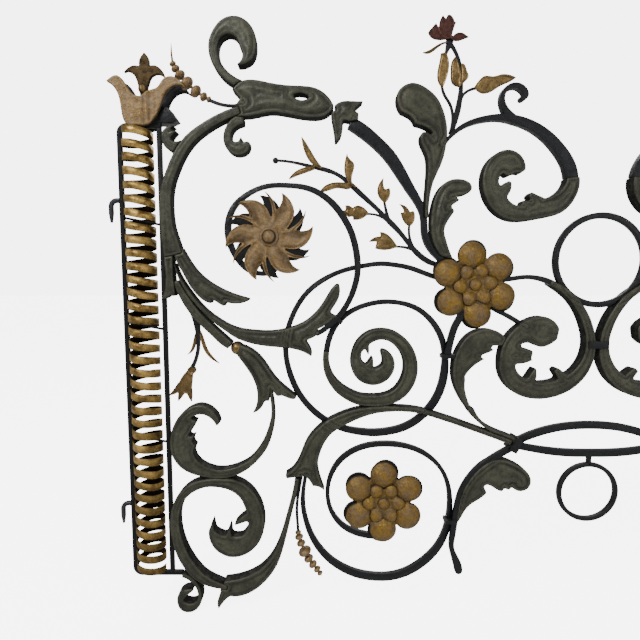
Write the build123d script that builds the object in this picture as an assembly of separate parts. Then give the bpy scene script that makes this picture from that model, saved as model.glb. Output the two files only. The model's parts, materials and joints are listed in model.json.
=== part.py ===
"""Wrought-iron scrollwork panel that hangs on drop-in hooks.

The panel is symmetric about X = 0 and stands in the XZ plane: X runs along it, Z is up, and the front
faces -Y. The origin lies on the axis at the level of the lowest scroll, in the middle of the depth.
Every piece is drawn on the left half, as a line of (x, z, half width) points or as an outline of
runs that meet at sharp tips, then given its depth and mirrored.
"""
from build123d import *
from math import cos, radians, sin
import os

# Depths across the panel
LEAF_DEPTH = 32.0        # embossed leaves and leaf scrolls, front to back
RING_DEPTH = 10.0        # round-edged flat bar of the rings
RING_PLANE = -2.0        # where the front rings and the rear rings meet
ARCH_DEPTH = 16.0        # heavy arch bars
STEM_DEPTH = 6.0         # thin stems
FOIL_DEPTH = 4.0         # small gilt leaves, buds and petals
FRONT = -LEAF_DEPTH / 2  # front face of the leaves
BACK = LEAF_DEPTH / 2

# End column: a bent square bar, an inner post and a ribbon wound between them
POST = 9.0
OUTER_POST_X = -946.0
INNER_POST_X = -868.5
COLUMN_TOP = 1004.0
COLUMN_BOTTOM = 78.5
CORNER_RADIUS = 15.0
RIBBON_CLEARANCE = 0.3
RIBBON_DIAMETER = 59.4
RIBBON_BAND = 15.0
RIBBON_THICKNESS = 1.6
RIBBON_PITCH = 26.0
RIBBON_TURNS = 34.4
RUNG_DIAMETER = 5.0
RUNG_LEVELS = (826.0, 605.0, 380.0)

# Hooks that drop into eyes on the wall
HOOK_ROD = 10.0
HOOK_PIN_X = -968.0
HOOK_BEND = 12.0
HOOK_TIP = 5.0
HOOK_LEVELS = (857.0, 236.0)
HOOK_DROP = 43.0

# Rosettes, each a dark back plate, six petals, six florets and a boss
ROSETTE_CENTRES = ((-250.0, 692.0, 97.0), (-425.0, 243.0, 90.0))
ROSETTE_PLATE = 5.0
PETAL_RING = 58.0
PETAL_RADIUS = 28.0
PETAL_RISE = 13.0
FLORET_RING = 30.0
FLORET_RADIUS = 14.5
FLORET_RISE = 8.0
BOSS_RADIUS = 13.5
HUB_RADIUS = 34.0

# Sunflower
FLOWER_CENTRE = (-655.0, 785.0)
FLOWER_REACH = 88.0
FLOWER_PLATE = 4.0
FLOWER_BOSS = 14.0
FLOWER_COLLAR = 19.0


def flat(points, y):
    """Points of the panel's plane, (x, z), at depth y."""
    return [Vector(p[0], y, p[1]) for p in points]


def run(points, y):
    """One run of an outline: a straight line for two points and a smooth curve for more."""
    spots = flat(points, y)
    return Line(*spots) if len(spots) == 2 else Spline(*spots)


def plate(runs, front, back):
    """A solid between two depths whose outline is made of runs that meet at sharp points."""
    face = Face(Wire([run(points, front) for points in runs]))
    return Solid.extrude(face, Vector(0, back - front, 0))


def limb(points, front, back, round_start=False, round_end=False):
    """A bar or leaf scroll: a smooth centre line whose half width changes along it."""
    centre = Spline(*[Vector(x, front, z) for x, z, _ in points])
    left, right = [], []
    for x, z, half in points:
        spot = Vector(x, front, z)
        along = centre.tangent_at(centre.param_at_point(spot))
        across = Vector(-along.Z, 0, along.X) * half
        left.append(spot + across)
        right.append(spot - across)
    start, end = centre.tangent_at(0), centre.tangent_at(1)
    first, last = centre.position_at(0), centre.position_at(1)
    cap_start = (ThreePointArc(right[0], first - start * points[0][2], left[0]) if round_start
                 else Line(right[0], left[0]))
    cap_end = (ThreePointArc(left[-1], last + end * points[-1][2], right[-1]) if round_end
               else Line(left[-1], right[-1]))
    sides = [Spline(*left), cap_end, Spline(*right[::-1]), cap_start]
    return Solid.extrude(Face(Wire(sides)), Vector(0, back - front, 0))


def leaf(points, **ends):
    """A leaf scroll or forged lobe at the full depth of the leaves."""
    return limb(points, FRONT, BACK, **ends)


def front_bar(points, depth=RING_DEPTH, **ends):
    """A bar of the front layer, which ends at the ring plane."""
    return limb(points, RING_PLANE - depth, RING_PLANE, **ends)


def rear_bar(points, depth=RING_DEPTH, **ends):
    """A bar of the rear layer, which starts at the ring plane."""
    return limb(points, RING_PLANE, RING_PLANE + depth, **ends)


def stem(points, **ends):
    """A thin stem behind the ring plane."""
    return rear_bar(points, STEM_DEPTH, **ends)


FOIL = (RING_PLANE - FOIL_DEPTH, RING_PLANE)


def foil(runs):
    """A small gilt leaf, bud or petal that lies on the front of its stem."""
    return plate(runs, *FOIL)


def bead(x, z, radius, y=RING_PLANE + STEM_DEPTH / 2):
    """A round bead centred on a stem."""
    return Pos(x, y, z) * Rot(0, 0, -90) * Sphere(radius).solid()


def joined(*solids):
    """One forging made of several shapes."""
    return max(solids[0].fuse(*solids[1:]).solids(), key=lambda body: body.volume)


def square_bar(path):
    """The square post section swept along straight runs and tangent arcs."""
    start = path.position_at(0)
    section = Plane(origin=start, z_dir=path.tangent_at(0), x_dir=(0, 1, 0)) * Rectangle(POST, POST)
    return sweep(section, path=path).solid()


# End column
def frame_bar():
    """The outer post with its top and bottom bars, bent from one square bar."""
    top = COLUMN_TOP - POST / 2
    bottom = COLUMN_BOTTOM + POST / 2
    corners = [(INNER_POST_X + POST / 2, 0, top), (OUTER_POST_X, 0, top), (OUTER_POST_X, 0, bottom),
               (-846.0, 0, bottom)]
    return square_bar(FilletPolyline(*corners, radius=CORNER_RADIUS))


def inner_post():
    """The straight post between the top bar and the bottom bar."""
    low, high = COLUMN_BOTTOM + POST, COLUMN_TOP - POST
    return Pos(INNER_POST_X, 0, (low + high) / 2) * Box(POST, POST, high - low).solid()


RIBBON_X = OUTER_POST_X + POST / 2 + RIBBON_CLEARANCE + RIBBON_DIAMETER / 2
RIBBON_START = COLUMN_BOTTOM + POST + RIBBON_BAND / 2 + RIBBON_CLEARANCE


RIBBON_MIDDLE = (RIBBON_DIAMETER - RIBBON_THICKNESS) / 2


def helix_spot(turn):
    """A point of the ribbon's middle line after so many turns upwards."""
    angle = radians(360 * turn)
    return Vector(RIBBON_X + RIBBON_MIDDLE * cos(angle), -RIBBON_MIDDLE * sin(angle),
                  RIBBON_START + RIBBON_PITCH * turn)


def gilt_ribbon():
    """The flat gilt ribbon, one unbroken helix of upright band wound inside the posts."""
    path = Helix(RIBBON_PITCH, RIBBON_PITCH * RIBBON_TURNS, RIBBON_MIDDLE, center=(RIBBON_X, 0, RIBBON_START),
                 lefthand=True)
    section = Plane(origin=path @ 0, x_dir=(1, 0, 0), z_dir=path % 0) * Rectangle(RIBBON_THICKNESS,
                                                                                  RIBBON_BAND)
    return sweep(section.face(), path=path, is_frenet=True).solid()


def ribbon_gap():
    """The least gap between one turn of the ribbon and the next, measured on points of the helix."""
    above = [helix_spot(0.5 + i / 48) for i in range(49)]
    return min((spot - helix_spot(0)).length for spot in above) - RIBBON_BAND


def rungs():
    """Thin rods that slope from post to post through the gaps between the turns."""
    left, right = OUTER_POST_X + POST / 2, INNER_POST_X - POST / 2
    rods = []
    for level in RUNG_LEVELS:
        turn = round((level - RIBBON_START) / RIBBON_PITCH)
        start = Vector(left, 0, RIBBON_START + RIBBON_PITCH * turn)
        end = Vector(right, 0, start.Z - RIBBON_PITCH / 2)
        section = Plane(origin=start, z_dir=(1, 0, 0)) * Circle(RUNG_DIAMETER / 2)
        rods.append(Solid.extrude(section.face(), end - start))
    return rods


def hook(level):
    """A drop-in hook: an arm out of the post, a bend and a tapered pin."""
    side = OUTER_POST_X - POST / 2
    path = FilletPolyline((side, 0, level), (HOOK_PIN_X, 0, level), (HOOK_PIN_X, 0, level - HOOK_DROP * 0.6),
                          radius=HOOK_BEND)
    rod = sweep(Plane(origin=(side, 0, level), z_dir=(-1, 0, 0)) * Circle(HOOK_ROD / 2), path=path).solid()
    taper = Cone(HOOK_TIP / 2, HOOK_ROD / 2, HOOK_DROP * 0.4).solid()
    return joined(rod, Pos(HOOK_PIN_X, 0, level - HOOK_DROP * 0.8) * taper)


PALMETTE = [[(-963, 1078), (-952, 1086), (-942, 1089), (-932, 1082), (-922, 1066), (-903, 1051)],
            [(-903, 1051), (-897, 1051)],
            [(-897, 1051), (-880, 1062), (-866, 1067), (-855, 1081), (-838, 1087), (-822, 1079),
             (-810, 1062)],
            [(-810, 1062), (-828, 1071), (-846, 1062), (-858, 1040), (-870, 1014), (-882, 1001), (-905, 997)],
            [(-905, 997), (-929, 1001), (-936, 1025), (-941, 1054), (-950, 1069), (-963, 1078)]]
PALMETTE_BACK_DEPTH = 12.0
CAP_DEPTH = 23.5


def palmette_front():
    """The gilt palmette in front of the top bar."""
    return plate(PALMETTE, FRONT, -POST / 2)


def palmette_back():
    """The dark palmette behind the cap."""
    return plate(PALMETTE, CAP_DEPTH, CAP_DEPTH + PALMETTE_BACK_DEPTH)


def cap_strap():
    """The strap that carries the rear palmette and stands out beside the column."""
    return plate([[(-905, 1004), (-845, 1004)], [(-845, 1004), (-832, 1010)], [(-832, 1010), (-846, 1030)],
                  [(-846, 1030), (-862, 1034), (-880, 1026), (-905, 1024)], [(-905, 1024), (-905, 1004)]],
                 -POST / 2, CAP_DEPTH)


def fleur():
    """The fleur finial between the palmettes, with its ball and foot."""
    blade = plate([[(-892, 1135), (-899, 1126), (-903, 1116), (-900, 1107)],
                   [(-900, 1107), (-912, 1111), (-924, 1106), (-934, 1096)],
                   [(-934, 1096), (-921, 1099), (-911, 1090), (-906, 1075), (-903, 1060), (-901, 1024)],
                   [(-901, 1024), (-893, 1024)],
                   [(-893, 1024), (-889, 1062), (-884, 1080), (-876, 1092), (-865, 1094), (-853, 1084)],
                   [(-853, 1084), (-860, 1103), (-872, 1111), (-884, 1109)],
                   [(-884, 1109), (-883, 1118), (-892, 1135)]], -POST / 2, POST / 2)
    return joined(blade, Pos(-897, 0, 1068) * Sphere(9.5).solid())


# Top left: husk, curls and bead spray
def top_husk():
    """The long husk leaf with its slot."""
    body = plate([[(-722, 1066), (-700, 1081), (-650, 1076), (-600, 1071), (-560, 1065), (-538, 1048),
                   (-529, 1033)],
                  [(-529, 1033), (-537, 1020), (-550, 1013), (-575, 1011), (-610, 1016), (-650, 1021),
                   (-690, 1014), (-716, 1014)],
                  [(-716, 1014), (-722, 1030)], [(-722, 1030), (-709, 1047)], [(-709, 1047), (-725, 1064)],
                  [(-725, 1064), (-722, 1066)]], FRONT, BACK)
    slot = plate([[(-610, 1053), (-594, 1056), (-575, 1050)], [(-575, 1050), (-590, 1044), (-610, 1053)]],
                 FRONT - 1, BACK + 1)
    return body.cut(slot).solids()[0]


def upper_curl():
    """The great curl that rises from the husk."""
    return leaf([(-704, 1073, 7), (-724, 1081, 8), (-745, 1100, 8), (-757, 1124, 8.5), (-758, 1147, 9.5),
                 (-749, 1166, 11), (-733, 1178, 15), (-713, 1178, 18), (-697, 1163, 18), (-692, 1142, 16),
                 (-693, 1124, 11), (-703, 1113, 5), (-714, 1109, 1)])


def husk_curl():
    """The small curl that hangs from the husk, with its spur."""
    curl = leaf([(-702, 1008, 9), (-722, 1001, 8.5), (-734, 982, 7.5), (-732, 964, 9), (-718, 954, 12.5),
                 (-703, 956, 11), (-694, 967, 3)])
    spur = leaf([(-714, 958, 6), (-710, 967, 3.5), (-708, 976, 0.8)])
    return joined(curl, spur)


def collar_leaf():
    """The split leaf that laps the end of the husk over the arch bar."""
    upper = leaf([(-524, 1024, 11), (-508, 1030, 13), (-492, 1035, 8), (-473, 1042, 0.8)])
    middle = leaf([(-515, 1020, 10), (-498, 1016, 11), (-482, 1014, 6)])
    lower = leaf([(-524, 1024, 11), (-522, 1002, 10), (-521, 985, 8), (-527, 965, 0.8)])
    return joined(upper, middle, lower)


SPRAY_BEADS = [(-773, 1049, 6.5), (-783, 1055, 8.5), (-797, 1064, 10.5), (-811, 1077, 12.5), (-823, 1092, 10),
               (-831, 1103, 7.5), (-837, 1111, 6.5)]
DROP_BEADS = [(-602, 171, 7), (-600, 161, 9), (-596, 146, 9.5), (-589, 128, 13.5), (-580, 115, 10.5),
              (-571, 101, 9.5), (-562, 90, 8), (-556, 81, 6.5)]


def bead_row(beads, tip):
    """Graded beads forged in one, with a thin tip."""
    return joined(*[bead(*spot) for spot in beads], stem(tip))


def bead_spray():
    """The spray of beads that curls up beside the husk."""
    return bead_row(SPRAY_BEADS, [(-835, 1106, 2.4), (-841, 1128, 1.8), (-841, 1152, 0.8)])


def spray_stem():
    """The stem that carries the spray."""
    return stem([(-700, 1040, 3), (-722, 1037, 3), (-745, 1039, 3), (-766, 1046, 3.2), (-775, 1050, 3)])


# Left side: scroll, calyx, main leaf
def side_scroll():
    """The grooved scroll bar from the husk down along the inner post."""
    return leaf([(-710, 1026, 8), (-750, 1010, 8.5), (-780, 993, 9), (-808, 971, 10), (-827, 946, 10.5),
                 (-841, 918, 10.5), (-851, 892, 11), (-857, 866, 12), (-858, 838, 12.5), (-856, 805, 13.5),
                 (-850, 772, 17), (-845, 750, 18)])


def small_curl():
    """The small curled leaf at the bend of the side scroll."""
    curl = leaf([(-800, 974, 6), (-822, 961, 9), (-840, 958, 10), (-851, 967, 9), (-854, 980, 7.5),
                 (-848, 991, 4.5), (-836, 997, 0.8)])
    tongue = leaf([(-850, 969, 5), (-844, 980, 4.5), (-832, 987, 0.8)])
    return joined(curl, tongue)


def calyx():
    """The straight leaf along the inner post, with a ragged end."""
    return plate([[(-864, 762), (-863, 730), (-862, 700), (-866, 676), (-872, 663)],
                  [(-872, 663), (-861, 665), (-853, 672)], [(-853, 672), (-846, 669), (-843, 680)],
                  [(-843, 680), (-845, 700), (-846, 725), (-845, 755)], [(-845, 755),
                                                                         (-864, 762)]], FRONT, BACK)


def sheath_leaf():
    """The long pointed leaf above the main bar."""
    return plate([[(-846, 772), (-832, 772)], [(-832, 772), (-819, 748), (-800, 720), (-775, 698),
                                               (-745, 681), (-715, 670), (-694, 664)],
                  [(-694, 664), (-708, 656), (-728, 654), (-744, 657)], [(-744, 657), (-747, 648)],
                  [(-747, 648), (-760, 656), (-771, 664)], [(-771, 664), (-773, 654)],
                  [(-773, 654), (-790, 662), (-806, 678), (-818, 696), (-828, 716)],
                  [(-828, 716), (-836, 730), (-842, 745), (-846, 772)]], FRONT, BACK)


def main_leaf():
    """The broad leaf bar that sweeps under the sunflower."""
    return plate([[(-845, 745), (-834, 712), (-814, 680), (-784, 644), (-755, 622), (-725, 607), (-690, 601),
                   (-650, 600), (-618, 606), (-590, 617), (-566, 636), (-548, 660), (-536, 680), (-524, 694)],
                  [(-524, 694), (-518, 694)], [(-518, 694), (-516, 678), (-521, 660), (-530, 646),
                                               (-536, 636)],
                  [(-536, 636), (-528, 632), (-520, 629)], [(-520, 629), (-535, 618), (-550, 608),
                                                            (-562, 603)],
                  [(-562, 603), (-556, 595)], [(-556, 595), (-570, 586), (-584, 580)],
                  [(-584, 580), (-576, 568), (-572, 557), (-573, 547)],
                  [(-573, 547), (-590, 557), (-615, 564), (-650, 567), (-690, 573), (-720, 583), (-742, 597)],
                  [(-742, 597), (-765, 614), (-790, 637), (-812, 662), (-830, 690),
                   (-845, 745)]], FRONT, BACK)


def knob_branch():
    """The branch below the main leaf that carries the knob."""
    return leaf([(-840, 700, 7), (-826, 668, 8.5), (-806, 637, 9), (-786, 615, 9), (-766, 596, 9),
                 (-749, 580, 9.5), (-736, 570, 8)])


KNOB = (-723.0, 564.0, 14.0)


def knob():
    """The round knob between the branch and its husk leaf."""
    x, z, radius = KNOB
    return bead(x, z, radius, 0)


def knob_husk():
    """The two-lobed husk leaf below the knob."""
    return plate([[(-716, 572), (-700, 566), (-684, 555), (-660, 525), (-645, 503), (-630, 488), (-603, 466)],
                  [(-603, 466), (-606, 461), (-620, 462), (-636, 468)], [(-636, 468), (-640, 466),
                                                                         (-650, 475), (-656, 484)],
                  [(-656, 484), (-657, 470), (-660, 456)], [(-660, 456), (-668, 458)],
                  [(-668, 458), (-672, 447), (-682, 436), (-694, 431)],
                  [(-694, 431), (-686, 446), (-683, 464), (-685, 485), (-693, 506), (-708, 530), (-724, 552)],
                  [(-724, 552), (-716, 572)]], FRONT, BACK)


def crescent():
    """The crescent scroll on its thin bar."""
    return plate([[(-760, 411), (-764, 425), (-778, 441), (-800, 449), (-822, 443), (-843, 425), (-857, 400),
                   (-863, 372), (-860, 345), (-848, 323), (-825, 306), (-795, 297), (-765, 294), (-735, 298),
                   (-705, 313), (-680, 336), (-662, 362), (-652, 392), (-648, 420), (-649, 450), (-654, 480)],
                  [(-654, 480), (-660, 480)],
                  [(-660, 480), (-657, 462), (-655, 440), (-656, 422), (-661, 403), (-669, 380), (-683, 355),
                   (-703, 333), (-730, 319), (-762, 313), (-790, 320), (-808, 334), (-815, 352)],
                  [(-815, 352), (-810, 364)], [(-810, 364), (-816, 371), (-811, 386)], [(-811, 386),
                                                                                        (-828, 381)],
                  [(-828, 381), (-818, 396), (-807, 416)], [(-807, 416), (-822, 420)],
                  [(-822, 420), (-808, 427), (-793, 428), (-778, 420), (-767, 404)], [(-767, 404),
                                                                                      (-760, 411)]],
                 FRONT, BACK)


def bluebell_stem():
    """The drooping stem under the main leaf."""
    return limb([(-818, 650, 5), (-806, 625, 7), (-803, 600, 4.5), (-802, 578, 3.2), (-804, 556, 3),
                 (-810, 536, 3.2), (-816, 524, 4)], -6, 6)


def bluebell():
    """The bell flower with its cup."""
    cup = disc(-817, 518, 8, -8, 8)
    bell = limb([(-818, 517, 6), (-826, 500, 12), (-831, 485, 14.5), (-835, 472, 14)], *FOIL)
    tips = [limb(points, *FOIL) for points in ([(-838, 489, 8), (-850, 476, 5.5), (-863, 467, 0.8)],
                                               [(-833, 482, 7), (-840, 468, 5.5), (-845, 455, 0.8)],
                                               [(-824, 486, 7), (-821, 469, 5.5), (-818, 454, 0.8)])]
    return joined(cup, bell, *tips)


# Lower left: C-scroll, sheath leaf, acanthus
def c_scroll():
    """The lower scroll with its coiled head."""
    body = leaf([(-751, 55, 4), (-768, 60, 7), (-798, 72, 10), (-824, 96, 12), (-843, 128, 12),
                 (-854, 162, 11), (-858, 195, 10), (-853, 232, 9), (-839, 258, 9), (-816, 276, 9.5), (-790, 284, 9),
                 (-762, 284, 10), (-735, 279, 13), (-712, 264, 15), (-696, 238, 17), (-688, 206, 17),
                 (-694, 173, 18), (-712, 152, 20), (-740, 146, 23), (-765, 156, 18), (-779, 172, 10),
                 (-785, 184, 3)])
    spur = leaf([(-776, 166, 7), (-780, 186, 4), (-779, 204, 0.8)])
    tooth = leaf([(-748, 160, 8), (-743, 193, 1)])
    hooklet = leaf([(-696, 216, 8), (-715, 206, 7), (-734, 194, 1.5)])
    return joined(body, spur, tooth, hooklet)


def foot_curl():
    """The small broad curl at the foot, at the end of the bottom bar."""
    return leaf([(-846, 83, 4.5), (-829, 76, 5), (-815, 60, 4.5), (-809, 41, 4.5), (-812, 23, 5.5),
                 (-824, 12, 9), (-841, 11.9, 10.5), (-851, 24, 7), (-845, 40, 8), (-832, 48, 5.5),
                 (-823, 51, 2)])


def lower_sheath():
    """The sheath leaf that runs up from the scroll to the acanthus."""
    body = leaf([(-762, 60, 12), (-735, 54, 19), (-704, 64, 18), (-676, 84, 14), (-655, 110, 10.5),
                 (-641, 140, 7.5), (-630, 175, 5.5), (-621, 210, 4.8), (-612, 245, 4.5), (-603, 294, 5)])
    tail = leaf([(-748, 50, 15), (-762, 32, 8), (-769, 17, 4.5), (-770, 8, 0.8)])
    return joined(body, tail)


def acanthus():
    """The acanthus leaf and the long S-shaped bar that grows out of it."""
    head = plate([[(-627, 303), (-606, 322), (-595, 345), (-585, 370), (-568, 394), (-550, 410)],
                  [(-550, 410), (-528, 394)], [(-528, 394), (-545, 372), (-554, 352), (-560, 325),
                                               (-557, 300), (-545, 264)],
                  [(-545, 264), (-558, 275), (-571, 277)], [(-571, 277), (-580, 292), (-586, 298)],
                  [(-586, 298), (-600, 297), (-626, 293)], [(-626, 293), (-627, 303)]], FRONT, BACK)
    bar = leaf([(-556, 380, 14), (-540, 400, 14), (-512, 417, 13), (-480, 430, 11), (-450, 437, 8),
                (-420, 440, 6.5), (-390, 440, 5.5), (-360, 437, 5.5), (-335, 431, 5.5), (-310, 423, 5.5),
                (-280, 413, 5.5), (-250, 402, 5.5), (-220, 391, 5.5), (-190, 380, 5.5), (-164, 369, 6)])
    return joined(head, bar)


def drop_stem():
    """The stem of the bead drop."""
    return stem([(-593, 304, 3.2), (-598, 275, 3.2), (-603, 245, 3.2), (-604.5, 215, 3), (-603, 190, 3),
                 (-602, 170, 2.6)])


def bead_drop():
    """The drop of beads below the acanthus."""
    return bead_row(DROP_BEADS, [(-558, 84, 3), (-551, 75, 2.4), (-545, 68, 0.8)])


def berry_ring():
    """The long spiral bar around the lower rosette."""
    return rear_bar([(-584, 306, 4), (-590, 270, 4.3), (-592, 238, 5), (-589, 212, 5), (-582, 185, 5.5),
                     (-571, 158, 6), (-556, 134, 6.5), (-535, 111, 7), (-508, 92, 7.5), (-475, 78, 8),
                     (-440, 72, 8), (-405, 73, 8), (-370, 84, 8), (-338, 105, 8), (-312, 132, 7.5),
                     (-295, 163, 7), (-286, 200, 6), (-284, 240, 5), (-289, 276, 4.5), (-300, 303, 4.5),
                     (-318, 326, 4.5), (-342, 344, 5), (-370, 356, 5), (-400, 362, 5.5), (-430, 363, 5.5),
                     (-460, 359, 5.5), (-490, 347, 5.5), (-515, 327, 5.5), (-531, 302, 5), (-539, 275, 4.5),
                     (-540, 250, 4.5), (-534, 222, 4.5), (-520, 198, 5), (-500, 180, 5.5), (-475, 169, 6),
                     (-450, 164, 6), (-425, 168, 6), (-414, 190, 6), (-420, 220, 7)])


# Middle: rings and spiral
def sunflower_ring():
    """The ring bar that starts behind the sunflower and ends on the main leaf."""
    return front_bar([(-640, 740, 5), (-650, 718, 5), (-675, 714, 5), (-697, 721, 5.5), (-714, 737, 6),
                      (-727, 757, 6), (-735, 780, 6.5), (-737, 802, 6.5), (-733, 826, 6), (-721, 848, 5.5),
                      (-703, 864, 5), (-680, 877, 4.5), (-655, 884, 4.5), (-620, 885, 4.5), (-590, 882, 5),
                      (-565, 874, 5.5), (-545, 862, 6), (-526, 845, 6.5), (-509, 822, 6.5), (-496, 798, 6.5),
                      (-487, 770, 6.5), (-482, 740, 6.5), (-482, 712, 6), (-488, 685, 6), (-499, 658, 5.5),
                      (-513, 636, 5.5), (-530, 617, 5), (-548, 602, 5), (-564, 593, 4.5)])


def spiral_bar():
    """The great spiral bar from the upper rosette to the spiral leaf."""
    return rear_bar([(-262, 694, 5), (-300, 700, 5), (-345, 714, 5), (-375, 725, 5), (-405, 731, 5),
                     (-435, 733.5, 5), (-465, 730, 5), (-495, 724, 5), (-525, 714, 5), (-552, 700, 5.5),
                     (-578, 680, 5.5), (-598, 655, 5.5), (-612, 628, 5.5), (-622, 598, 5.5), (-626, 565, 5.5),
                     (-623, 533, 5.5), (-614, 501, 6), (-600, 471, 6), (-581, 445, 6), (-559, 424, 6),
                     (-535, 408, 6), (-508, 396, 6.5), (-480, 390, 7), (-450, 387, 7.5), (-420, 389, 7.5),
                     (-390, 396, 7.5), (-365, 408, 7.5), (-345, 424, 7.5), (-328, 443, 8), (-313, 469, 8),
                     (-304, 500, 8), (-301, 530, 7), (-303, 560, 6), (-311, 588, 6), (-325, 612, 6),
                     (-346, 634, 5.5), (-372, 649, 5.5), (-400, 656, 5), (-425, 657.5, 5), (-452, 654, 5),
                     (-480, 645, 5), (-503, 632, 5.5), (-521, 615, 6), (-534, 592, 6), (-541, 568, 6),
                     (-544, 548, 6)])


def spiral_leaf():
    """The coiled leaf at the inner end of the great spiral."""
    body = leaf([(-543, 558, 6), (-544, 540, 6.5), (-541, 520, 7.5), (-532, 500, 8.5), (-518, 483, 10),
                 (-500, 470, 11), (-478, 460, 11.5), (-452, 457, 11.5), (-425, 459, 12), (-402, 468, 13),
                 (-385, 485, 14), (-375, 507, 14.5), (-373, 532, 14), (-380, 557, 13.5), (-395, 577, 13),
                 (-415, 590, 12), (-437, 593, 11.5), (-458, 586, 12), (-474, 572, 11), (-483, 553, 10),
                 (-482, 534, 13), (-470, 515, 17), (-449, 506, 17), (-428, 514, 16), (-418, 532, 13),
                 (-422, 549, 10), (-433, 560, 3)])
    spur = leaf([(-466, 578, 6), (-461, 564, 4), (-459, 551, 0.8)])
    tooth = leaf([(-456, 528, 8), (-450, 548, 1)])
    return joined(body, spur, tooth)


def arch_bar():
    """The heavy bar from the collar leaf down to the upper rosette."""
    return limb([(-498, 1004, 11), (-482, 995, 12), (-447, 968, 11.5), (-420, 941, 11.5), (-398, 909, 10.5),
                 (-378, 877, 8.5), (-362, 852, 7), (-352, 826, 6), (-350, 800, 6), (-344, 776, 6),
                 (-332, 757, 5.5), (-312, 738, 5), (-285, 715, 5)], -ARCH_DEPTH / 2, ARCH_DEPTH / 2)


def tall_leaf():
    """The tall hooded leaf beside the arch bar."""
    return plate([[(-400, 1022), (-409, 1040), (-408, 1058), (-396, 1071), (-378, 1076), (-355, 1068),
                   (-333, 1050), (-318, 1022), (-311, 990), (-313, 955), (-322, 922), (-334, 895),
                   (-342, 860), (-343, 822)],
                  [(-343, 822), (-351, 822)],
                  [(-351, 822), (-351, 862), (-349, 890), (-348, 920), (-352, 945), (-361, 963), (-363, 977),
                   (-357, 986)],
                  [(-357, 986), (-346, 982), (-336, 971)], [(-336, 971), (-341, 985), (-354, 994),
                                                            (-374, 1000)],
                  [(-374, 1000), (-379, 1010), (-388, 1017), (-400, 1022)]], FRONT, BACK)


def lobed_leaf():
    """The leaf with three lobes right of the arch bar."""
    return plate([[(-318, 748), (-333, 772), (-340, 805), (-338, 840), (-331, 866), (-318, 886), (-300, 896),
                   (-278, 896), (-264, 889), (-260, 879), (-268, 869), (-283, 865), (-299, 863)],
                  [(-299, 863), (-290, 861), (-283, 857)], [(-283, 857), (-293, 850), (-304, 843)],
                  [(-304, 843), (-297, 841), (-293, 835)], [(-293, 835), (-305, 817), (-312, 798),
                                                            (-308, 780), (-302, 762), (-293, 742)],
                  [(-293, 742), (-318, 748)]], FRONT, BACK)


def sprig_stem():
    """The main stem of the sprig with its side stalks."""
    main = stem([(-640, 934, 2.2), (-600, 929, 2.6), (-570, 922, 3.5), (-548, 917, 4.4), (-525, 909, 3.6),
                 (-505, 896, 4.4), (-487, 880, 5.2), (-468, 863, 5), (-450, 847, 4.2), (-430, 828, 4.5),
                 (-416, 814, 5.5), (-400, 798, 4.8), (-380, 774, 4.5), (-362, 754, 5.5), (-342, 739, 5.5),
                 (-318, 731, 4.5)])
    stalks = [[(-421, 820, 4), (-426, 840, 2.6), (-430, 858, 2.2)],
              [(-372, 766, 4), (-379, 790, 2.3), (-379, 812, 2.2)], [(-424, 820, 3.5), (-440, 828, 2.3),
                                                                     (-466, 831, 2.2)], [(-372, 762, 3.5),
                                                                                         (-388, 766, 2.5),
                                                                                         (-408, 767, 2.2)]]
    return joined(main, *[stem(points) for points in stalks], bead(-643, 934, 6))


def sprig_leaves():
    """The gilt leaves of the sprig, two pairs."""
    return [limb([(-592, 978, 0.6), (-583, 957, 5.5), (-571, 935, 6.5), (-553, 919, 2)], *FOIL),
            limb([(-617, 897, 0.6), (-600, 909, 5), (-584, 915, 5.5), (-566, 919, 3)], *FOIL),
            foil([[(-502, 951), (-498, 936), (-490, 928), (-492, 908), (-481, 880)],
                  [(-481, 880), (-499, 889), (-508, 908), (-508, 930), (-502, 951)]]),
            foil([[(-557, 872), (-545, 886), (-523, 892), (-503, 890), (-492, 886)],
                  [(-492, 886), (-500, 878), (-520, 880), (-540, 875), (-557, 872)]])]


def sprig_buds():
    """The four gilt buds at the ends of the stalks."""
    return [foil([[(-428, 852), (-440, 862), (-444, 877), (-440, 890), (-431, 901)],
                  [(-431, 901), (-432, 888), (-429, 878)], [(-429, 878), (-420, 881)], [(-420, 881),
                                                                                        (-418, 870),
                                                                                        (-421, 860),
                                                                                        (-428, 852)]]),
            foil([[(-379, 806), (-390, 814), (-396, 826), (-398, 833)], [(-398, 833), (-391, 834)],
                  [(-391, 834), (-394, 842), (-402, 850)], [(-402, 850), (-387, 845), (-379, 834)],
                  [(-379, 834), (-372, 836), (-369, 826), (-371, 815), (-379, 806)]]),
            foil([[(-460, 832), (-470, 843), (-480, 847), (-492, 842)],
                  [(-492, 842), (-499, 847), (-507, 847)], [(-507, 847), (-506, 839),
                                                            (-517, 839)], [(-517, 839), (-505, 828),
                                                                           (-500, 824)], [(-500, 824),
                                                                                          (-491, 826)],
                  [(-491, 826), (-491, 819)], [(-491, 819), (-477, 820), (-460, 832)]]),
            foil([[(-402, 767), (-412, 781), (-424, 792), (-438, 796)], [(-438, 796), (-436, 787)],
                  [(-436, 787), (-449, 785), (-460, 776)], [(-460, 776), (-444, 777)],
                  [(-444, 777), (-447, 763)], [(-447, 763), (-430, 760), (-414, 762), (-402, 767)]])]


def bluebell_leaves():
    """The two gilt leaves beside the bluebell stem."""
    return [foil([[(-800, 606), (-809, 590), (-813, 573), (-826, 550)],
                  [(-826, 550), (-811, 560), (-805, 576), (-800, 606)]]),
            foil([[(-806, 612), (-791, 588), (-782, 561), (-770, 544), (-758, 532)],
                  [(-758, 532), (-775, 541), (-790, 559), (-797, 582), (-806, 612)]])]


# Flowers
def turned(points, centre, angle):
    """Points given as (distance, angle) about a centre, turned by an angle in degrees."""
    return [(centre[0] + d * cos(radians(a + angle)), centre[1] + d * sin(radians(a + angle))) for d,
            a in points]


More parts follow.
